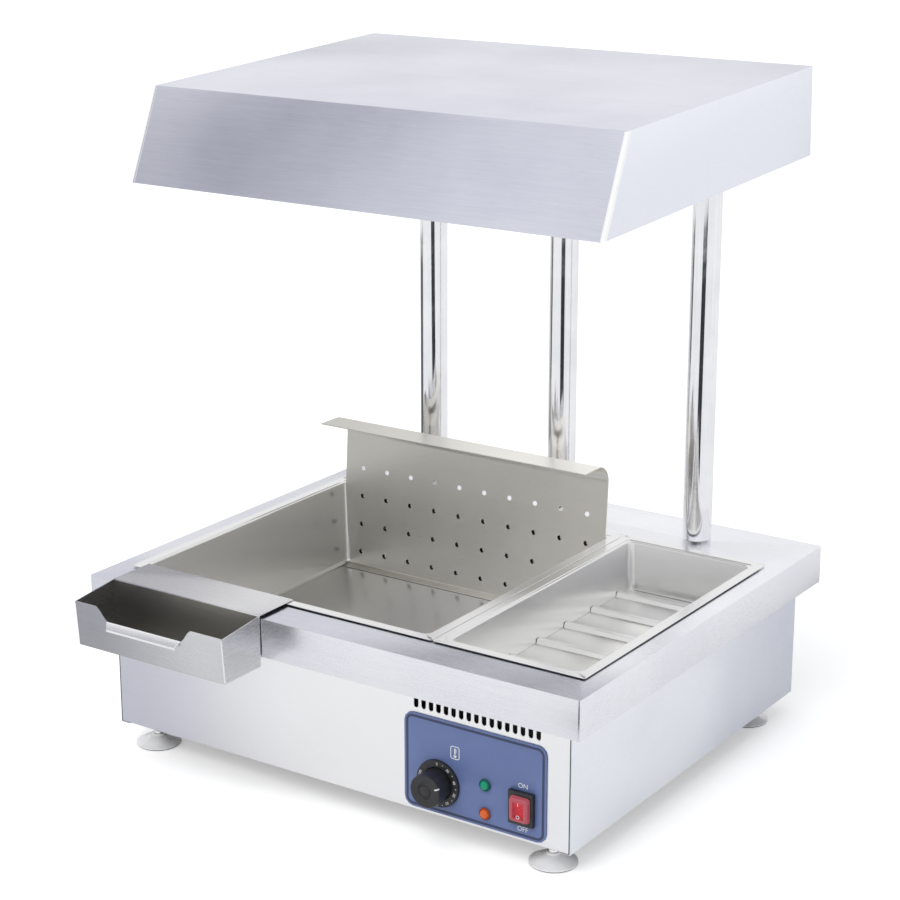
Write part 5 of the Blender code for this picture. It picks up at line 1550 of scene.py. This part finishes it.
@dataclass
class ControlPanel(Assembly):
    """The blue control plate with its knob, lights and switch."""

    plate_edge: float = 0.0002
    corner: float = 0.010
    border_inset: float = 0.0022
    border_width: float = 0.0026
    print_depth: float = 0.00008
    word_size: float = 0.0070
    on_above: float = 0.0048
    off_below: float = 0.0060
    turned_sides: int = 96
    dial_numbers: tuple[str, ...] = ("0", "30", "40", "50", "60", "70", "80", "90", "100")
    dial_sweep: float = 290.0
    dial_gap: float = 0.0006
    dial_print_radius: float = 0.0210
    dial_number_size: float = 0.0040
    dot_size: float = 0.0008
    dot_out: float = 0.0010
    knob_angle: float = 68.0
    knob_foot: float = 0.0165
    knob_edge: float = 0.0012
    tick_width: float = 0.0013
    tick_length: float = 0.0044
    tick_drop: float = 0.0022
    tick_lift: float = 0.00012
    tick_sink: float = 0.0006
    thermometer_place: Point2 = (0.1515, 0.0985)
    thermometer_size: Point2 = (0.0105, 0.0136)
    thermometer_corner: float = 0.0025
    thermometer_line: float = 0.0008
    light_front: float = 0.0040
    housing_edge: float = 0.0006
    rocker_edge: float = 0.0005
    cover_wall: float = 0.0007
    cover_dip: float = 0.93
    sign_size: float = 0.0052
    sign_share: float = 0.25
    gland_edge: float = 0.0003

    def build(self) -> None:
        """Make and place the pieces."""
        self.plate()
        self.dial()
        self.knob()
        self.lights()
        self.switch()
        self.dressed("zinc_plate", "thermostat", "thermostat_bulb")
        self.dressed("terminal_plastic", "terminal_block")
        self.remade("cable_gland", "black_plastic", self.gland_edge, slot="black_plastic")

    def lettering(self, name: str, words: str, size: float, at: Point3, turn: float = 0.0) -> Piece:
        """Printed characters on a face that looks forward.

        Args:
            name: Name of the piece.
            words: The characters.
            size: Their size.
            at: Centre of the characters, on the face.
            turn: Clockwise turn in degrees.

        Returns:
            The piece.
        """
        curve = bpy.data.curves.new(name, "FONT")
        curve.body = words
        curve.size = size
        curve.align_x = "CENTER"
        curve.align_y = "CENTER"
        curve.extrude = self.print_depth / 2
        curve.resolution_u = LETTER_RESOLUTION
        text = placed(name, curve)
        mesh = evaluated(text)
        bpy.data.objects.remove(text)
        lean = Matrix.Rotation(-math.radians(turn), 4, "Z")
        mesh.transform(placing(at, Facing.FORWARD) @ lean @ Matrix.Translation((0, 0, self.print_depth / 2)))
        mesh.materials.clear()
        mesh.materials.append(self.palette["white_print"])
        return placed(name, mesh)

    def plate(self) -> None:
        """The plate with its printed border and marks."""
        self.remade("control_plate", "control_blue", self.plate_edge, slot="control_blue")
        span, switch = Span.of("control_plate"), Span.of("switch_housing")
        face = span.low.y
        insets = (self.border_inset, self.border_inset + self.border_width)
        outlines = [span.outline(inset, self.corner - inset, 10) for inset in insets]
        slate = self.palette["border_slate"]
        border = frame_strip("control_border", *outlines, face - self.print_depth, face, slate)
        carried(border, "cabinet", "control_blue")
        self.thermometer(face)
        for word, level in (("ON", switch.high.z + self.on_above), ("OFF", switch.low.z - self.off_below)):
            at = (switch.middle.x, face, level)
            text = self.lettering(f"print_{word.lower()}", word, self.word_size, at)
            carried(text, "cabinet", "control_blue")

    def thermometer(self, face: float) -> None:
        """A plain outlined thermometer printed above the knob.

        Args:
            face: Depth of the control plate's face.
        """
        front, white = face - self.print_depth, self.palette["white_print"]
        x, z = self.thermometer_place
        wide, high = self.thermometer_size[0] / 2, self.thermometer_size[1] / 2
        outlines = []
        for inset in (0.0, self.thermometer_line):
            low, top = (x - wide + inset, z - high + inset), (x + wide - inset, z + high - inset)
            outlines.append(rounded_outline(low, top, self.thermometer_corner - inset, 5))
        flat = [
            rounded_outline((x - 0.0008, z - 0.0030), (x + 0.0008, z + 0.0046), 0.0007, 4),
            rounded_outline((x - 0.0017, z - 0.0050), (x + 0.0017, z - 0.0016), 0.0016, 8),
        ]
        for level in (z + 0.0008 + 0.0013 * step for step in range(3)):
            flat.append(rectangle((x + 0.0014, level), (x + 0.0026, level + 0.0004)))
        parts = [frame_strip("thermometer_frame", *outlines, front, face, white)]
        parts += [extruded("thermometer_part", outline, along_y, front, face, white) for outline in flat]
        carried(joined("thermometer_mark", parts), "cabinet", "control_blue")

    def dial(self) -> None:
        """The fixed ring with its printed numbers and dots."""
        span, black = Span.of("dial_ring"), self.palette["dial_black"]
        reach, depth, inner = span.size.x / 2, span.size.y, self.knob_foot + self.dial_gap
        profile = [(inner, 0.0), (inner, depth - 0.0003), (inner + 0.0003, depth), (reach - 0.0010, depth)]
        profile += [(reach - 0.0003, depth - 0.0003), (reach, depth - 0.0010), (reach, 0.0)]
        at = (span.middle.x, span.high.y, span.middle.z)
        ring = turned("dial_ring_look", profile, at, Facing.FORWARD, black, self.turned_sides)
        carried(ring, "cabinet", "black_plastic", "dial_ring")
        gap = self.dial_sweep / (len(self.dial_numbers) - 1)
        dots = ring_of_marks(
            "dial_dots",
            Vector((span.middle.x, span.low.y - self.print_depth / 2, span.middle.z)),
            self.dial_print_radius + self.dot_out,
            (self.dot_size, self.print_depth, self.dot_size),
            len(self.dial_numbers) - 1,
            (gap / 2, self.dial_sweep - gap / 2),
            self.palette["white_print"],
        )
        carried(dots, "cabinet", "black_plastic")
        numbers = []
        for index, number in enumerate(self.dial_numbers):
            out, turn = self.dial_print_radius, gap * index
            right, above = out * math.sin(math.radians(turn)), out * math.cos(math.radians(turn))
            place = (span.middle.x + right, span.low.y, span.middle.z + above)
            numbers.append(self.lettering(f"dial_{number}", number, self.dial_number_size, place, turn))
        carried(joined("dial_numbers", numbers), "cabinet", "black_plastic")

    def knob(self) -> None:
        """The smooth round knob with a recessed face and its pointer tick."""
        span = Span.of("knob")
        reach, depth, edge, foot = span.size.x / 2, span.size.y, self.knob_edge, self.knob_foot
        profile = [(0.0, depth - 0.0007), (0.0050, depth - 0.0007), (0.0055, depth - 0.0010)]
        profile += [(0.0060, depth - 0.0016), (0.0074, depth - 0.0016), (0.0080, depth - 0.0007)]
        profile += [(0.0084, depth - 0.0002), (0.0090, depth)]
        for angle in quarter_turn(7):
            profile.append((reach - edge + edge * math.sin(angle), depth - edge * (1 - math.cos(angle))))
        profile += [(foot + 0.0001, 0.0020), (foot, 0.0004), (foot - 0.0004, 0.0), (0.0, 0.0)]
        at = (span.middle.x, span.high.y, span.middle.z)
        knob = turned("knob_look", profile, at, Facing.FORWARD, self.palette["knob_black"], self.turned_sides)
        carried(knob, "control_knob", "black_plastic", "knob")
        self.tick(at, reach, depth)
        self.dressed("zinc_plate", "thermostat_shaft")

    def tick(self, at: Point3, reach: float, depth: float) -> None:
        """The white pointer tick, bent over the edge of the knob's face.

        Args:
            at: Middle of the knob's back.
            reach: Radius of the knob's face.
            depth: Height of the face over the back.
        """
        length, drop, edge = self.tick_length, self.tick_drop, self.knob_edge
        lift, sink = self.tick_lift, self.tick_sink
        outline = [
            (reach - length, depth + lift),
            (reach - edge, depth + lift),
            (reach - 0.0003, depth - 0.0003),
            (reach + lift, depth - edge),
            (reach + lift, depth - drop),
            (reach - sink, depth - drop),
            (reach - sink, depth - edge),
            (reach - edge, depth - sink),
            (reach - length, depth - sink),
        ]
        turn = placing(at, Facing.FORWARD) @ Matrix.Rotation(-math.radians(self.knob_angle), 4, "Z")

        def across(u: float, v: float, side: float) -> Point3:
            """A point of the tick in the object's frame."""
            return tuple(turn @ Vector((side, u, v)))

        half = self.tick_width / 2
        tick = extruded("knob_pointer", outline, across, -half, half, self.palette["white_print"])
        carried(tick, "control_knob", "black_plastic")

    def lights(self) -> None:
        """The two pilot lights: a faceted lens in a clear rim."""
        front = self.light_front
        for use, colour in (("power", "green"), ("heat", "orange")):
            node, finish = f"pilot_light_{use}", f"lens_{colour}"
            span = Span.of(node)
            reach = span.size.x / 2
            at = (span.middle.x, span.low.y + front, span.middle.z)
            lens = [(0.0, front - 0.0002), (reach * 0.42, front - 0.0005), (reach * 0.72, front - 0.0014)]
            lens += [(reach * 0.80, 0.0010), (reach * 0.70, 0.0), (reach * 0.70, -0.0150), (0.0, -0.0155)]
            piece = turned(f"{node}_lens", lens, at, Facing.FORWARD, self.palette[finish], 12)
            piece.data.shade_flat()
            carried(piece, "cabinet", finish, node)
            rim = [(reach * 0.81, 0.0002), (reach * 0.81, 0.0020), (reach * 0.86, 0.0023)]
            rim += [(reach * 0.94, 0.0018), (reach, 0.0006), (reach, 0.0002)]
            ring = turned(f"{node}_rim", rim, at, Facing.FORWARD, self.palette[f"rim_{colour}"], 48)
            carried(ring, "cabinet", finish)

    def switch(self) -> None:
        """The rocker in its frame under a soft tinted cover with printed signs."""
        black, red = "black_plastic", "rocker_red"
        self.remade("switch_housing", black, self.housing_edge, 3, slot=black)
        self.remade("rocker", red, self.rocker_edge, 3, "power_rocker", red)
        span, wall = Span.of("splash_cover"), self.cover_wall
        back, proud, dip = span.high.y, span.size.y, self.cover_dip
        outer, inner = [], []
        for inset, radius, share in (
            (0.0, 0.0034, 0.0),
            (0.0, 0.0034, 0.16),
            (0.0005, 0.0034, 0.20),
            (0.0008, 0.0034, 0.74),
            (0.0012, 0.0034, 0.88),
            (0.0020, 0.0030, 0.98),
            (0.0030, 0.0026, 1.0),
            (0.0040, 0.0020, dip),
            (0.0050, 0.0016, dip),
        ):
            depth = proud * share
            outline = span.outline(inset, radius, 6)
            outer.append([along_y(u, v, back - depth) for u, v in outline])
            outline = span.outline(inset + wall, max(radius - wall, 0.001), 6)
            inner.append([along_y(u, v, back - max(depth - wall, 0.0)) for u, v in outline])
        cover = loft("splash_cover_look", inner[::-1] + outer, self.palette["cover_clear"])
        carried(cover, "cabinet", "cover_clear", "splash_cover")
        middle = Span.of("rocker").middle.z
        signs = []
        for sign, share in (("I", self.sign_share), ("O", -self.sign_share)):
            at = (span.middle.x, back - proud * dip, middle + span.size.z * share)
            signs.append(self.lettering(f"switch_{sign}", sign, self.sign_size, at))
        carried(joined("switch_signs", signs), "cabinet", "cover_clear")


@dataclass
class HoodStand(Assembly):
    """Three polished posts between the deck and the hood, with a rail at each end."""

    sides: tuple[str, ...] = ("left", "middle", "right")
    post_sides: int = 96
    stud: float = 0.005
    foot_rail_edge: float = 0.0005
    head_rail_edge: float = 0.0004

    def build(self) -> None:
        """Make and place the pieces."""
        self.posts()
        self.remade("post_rail", "inner_steel", self.foot_rail_edge, slot="plated_steel")
        self.remade("head_rail", "hood_steel", self.head_rail_edge)
        self.dressed("zinc_plate", *(f"post_nut_{side}" for side in self.sides))

    def posts(self) -> None:
        """The posts, one turned pattern set in three places."""
        names = [f"post_{side}" for side in self.sides]
        spans = [Span.of(name) for name in names]
        radius, height, stud = spans[0].size.x / 2, spans[0].size.z, self.stud
        foot = Span.of("deck_cover").high.z - spans[0].low.z
        profile = [(0.0, 0.0), (stud * 0.8, 0.0), (stud, 0.0006), (stud, foot - 0.0002)]
        profile += [(radius - 0.0006, foot + 0.0002), (radius, foot + 0.0008), (radius, height - 0.0006)]
        profile += [(radius - 0.0006, height), (0.0, height)]
        polish = self.palette["post_polish"]
        pattern = turned("post_pattern", profile, (0.0, 0.0, 0.0), Facing.UP, polish, self.post_sides)
        places = [(span.middle.x, span.middle.y, span.low.z) for span in spans]
        carried(repeated("posts_look", pattern, places, polish), "cabinet", "polished_steel", *names)


@dataclass
class LampHood(Assembly):
    """The sloping hood with its liner, reflector and two heat lamps."""

    front_foot: Point3 = (0.0, -0.16099, 0.60304)
    pitch: float = 2.8
    width: float = 0.553
    height: float = 0.092
    slant: float = 0.0455
    seam: float = 0.0050
    seam_rise: float = 0.0008
    seam_end: float = 0.0004
    joint_width: float = 0.0007
    joint_end: float = 0.0006
    shell_edge: float = 0.0008
    liner_edge: float = 0.0004

    def build(self) -> None:
        """Make and place the pieces."""
        self.remade("hood_shell", "hood_steel", self.shell_edge, 3)
        self.seams()
        self.remade("hood_liner", "inner_steel", self.liner_edge)
        self.dressed("reflector_bright", "lamp_reflector")
        self.dressed("inner_steel", "reflector_hanger_left", "reflector_hanger_right")
        self.dressed("zinc_plate", "lamp_guard")
        for side in ("left", "right"):
            self.dressed("lamp_quartz", f"lamp_{side}")
            self.dressed("holder_ceramic", f"lamp_holder_{side}_inner", f"lamp_holder_{side}_outer")

    def local(self, x: float, y: float, z: float) -> Point3:
        """A point of the hood's own frame in the object's frame."""
        turn = Matrix.Translation(self.front_foot) @ Matrix.Rotation(math.radians(self.pitch), 4, "X")
        return tuple(turn @ Vector((x, y, z)))

    def seams(self) -> None:
        """The doubled fold around each slanted front corner, with a dark joint behind it."""
        half, rise, back, gap = self.width / 2, self.seam_rise, self.seam, self.seam + 0.0002
        fold = (
            (-0.0030, 0.0003),
            (-0.0030, -rise),
            (-0.0004, -rise),
            (rise, 0.0002),
            (rise, back * 0.38),
            (rise * 0.1, back * 0.46),
            (rise, back * 0.54),
            (rise, back),
            (0.0, back + 0.0003),
            (-0.0005, back + 0.0003),
            (-0.0005, 0.0003),
        )
        wide = self.joint_width
        joint = ((0.0002, gap), (0.0002, gap + wide), (-0.0004, gap + wide), (-0.0004, gap))
        for side, sign in (("left", -1.0), ("right", 1.0)):
            for name, section, end, finish in (
                (f"hood_seam_{side}", fold, self.seam_end, "seam_bright"),
                (f"hood_joint_{side}", joint, self.joint_end, "joint_shadow"),
            ):
                rings = []
                for level in (end, self.height - end):
                    lean = self.slant * level / self.height
                    rings.append([self.local(sign * (half + x), lean + y, level) for x, y in section])
                carried(loft(name, rings, self.palette[finish]), "cabinet", "satin_steel")


@dataclass
class Studio:
    """Floor, light and camera."""

    camera_place: Point3 = (1.2458, -1.8434, 0.9962)
    azimuth: float = 33.94
    elevation: float = 16.78
    lens: float = 89.04
    sensor: float = 36.0
    sight: float = 200.0
    floor_reach: float = 40.0
    floor_lift: float = 0.33
    world_level: float = 0.62
    sun_level: float = 1.35
    sun_spread: float = 50.0
    sun_turns: Point3 = (32.0, -14.0, 10.0)

    def build(self) -> None:
        """Make everything that isn't part of the object."""
        self.camera()
        self.floor()
        self.world()
        self.lights()
        self.cards()
        bpy.context.scene.view_settings.view_transform = "Standard"

    def camera(self) -> None:
        """The camera at the photograph's place."""
        data = bpy.data.cameras.new("camera")
        data.lens = self.lens
        data.sensor_width = self.sensor
        data.clip_end = self.sight
        camera = placed("camera", data)
        camera.location = self.camera_place
        camera.rotation_euler = (math.radians(90.0 - self.elevation), 0.0, math.radians(self.azimuth))
        bpy.context.scene.camera = camera

    def sheet(self, name: str, corners: Sequence[Point3], finish: Material) -> Piece:
        """A single flat face placed beside the object.

        Args:
            name: Name of the piece.
            corners: Its corners in order.
            finish: Its material.

        Returns:
            The piece.
        """
        shape = bmesh.new()
        shape.faces.new([shape.verts.new(corner) for corner in corners])
        piece = piece_from(shape, name, finish)
        return piece

    def floor(self) -> None:
        """A wide white floor that keeps the object's shadow."""
        shader = Shader("floor_white")
        grain = shader.noise(shader.place(), 3.0)
        white = shader.blend(grain, (0.93, 0.93, 0.93), (0.95, 0.95, 0.95))
        material = shader.finish(Base_Color=white, Roughness=0.9, Specular_IOR_Level=0.1)
        plain = shader.node("ShaderNodeBsdfDiffuse", {"Color": (0.95, 0.95, 0.95)})
        glow = shader.node("ShaderNodeEmission", {"Strength": self.floor_lift})
        lifted = shader.node("ShaderNodeAddShader", {0: plain, 1: glow})
        seen = shader.node("ShaderNodeLightPath", out="Is Camera Ray")
        principled = Signal(shader, shader.principled.outputs[0])
        mix = shader.node("ShaderNodeMixShader", {0: seen, 1: principled, 2: lifted})
        shader.feed(shader.output.inputs["Surface"], mix)
        reach = self.floor_reach
        self.sheet("floor", [(x, y, 0.0) for x, y in rectangle((-reach, -reach), (reach, reach))], material)

    def world(self) -> None:
        """Even light, and a white background for the camera, for gloss and through clear parts."""
        world = bpy.data.worlds.new("world")
        bpy.context.scene.world = world
        world.use_nodes = True
        world.node_tree.nodes.clear()
        tree = Tree(world.node_tree)
        soft = tree.node("ShaderNodeBackground", {"Color": (0.97, 0.98, 1.0), "Strength": self.world_level})
        white = tree.node("ShaderNodeBackground", {"Color": (1.0, 1.0, 1.0), "Strength": 1.0})
        kinds = ("Is Camera Ray", "Is Glossy Ray", "Is Transmission Ray")
        camera, glossy, through = (tree.node("ShaderNodeLightPath", out=kind) for kind in kinds)
        rays = camera.math("MAXIMUM", glossy).math("MAXIMUM", through)
        output = world.node_tree.nodes.new("ShaderNodeOutputWorld")
        tree.feed(output.inputs["Surface"], tree.node("ShaderNodeMixShader", {0: rays, 1: soft, 2: white}))

    def lights(self) -> None:
        """One broad soft light from the upper left front."""
        data = bpy.data.lights.new("soft_light", "SUN")
        data.energy = self.sun_level
        data.angle = math.radians(self.sun_spread)
        light = placed("soft_light", data)
        light.visible_glossy = False
        light.rotation_euler = [math.radians(turn) for turn in self.sun_turns]

    def cards(self) -> None:
        """Cards out of the camera's sight, which only the bright metal mirrors."""
        sky = ((-4.6, -2.6, 0.9), (-1.2, -5.2, 0.9), (-0.9, -4.6, 5.2), (-4.2, -2.2, 5.2))
        ahead = ((0.22, -0.50, 0.004), (0.62, -0.42, 0.004), (1.90, -2.30, 0.004), (0.34, -2.60, 0.004))
        behind = ((-0.50, 0.36, 0.004), (-2.60, 1.00, 0.004), (-2.60, -0.75, 0.004), (-0.55, 0.10, 0.004))
        for name, dark, pale, corners in (
            ("card_sky", (0.34, 0.34, 0.39), (0.92, 0.92, 0.95), sky),
            ("card_ahead", (0.035, 0.035, 0.04), (0.040, 0.040, 0.045), ahead),
            ("card_behind", (0.11, 0.11, 0.12), (0.13, 0.13, 0.14), behind),
        ):
            shader = Shader(f"{name}_shade")
            across = shader.split(shader.place())[0].ranged(-3.9, -2.2)
            material = shader.finish(
                Base_Color=(0.0, 0.0, 0.0),
                Roughness=1.0,
                Specular_IOR_Level=0.0,
                Emission_Color=shader.blend(across, dark, pale),
                Emission_Strength=1.0,
            )
            card = self.sheet(name, corners, material)
            for rays in ("camera", "diffuse", "shadow", "transmission"):
                setattr(card, f"visible_{rays}", False)


def main() -> None:
    """Build the studio and every sub-assembly in order."""
    logging.basicConfig(level=logging.INFO, format="%(name)s: %(message)s")
    Studio().build()
    palette = Palette()
    for assembly in (Cabinet, HeatingWell, ServingPans, HookOnTray, ControlPanel, HoodStand, LampHood):
        log.info("%s", assembly.__name__)
        assembly(palette).build()


if __name__ == "__main__":
    main()
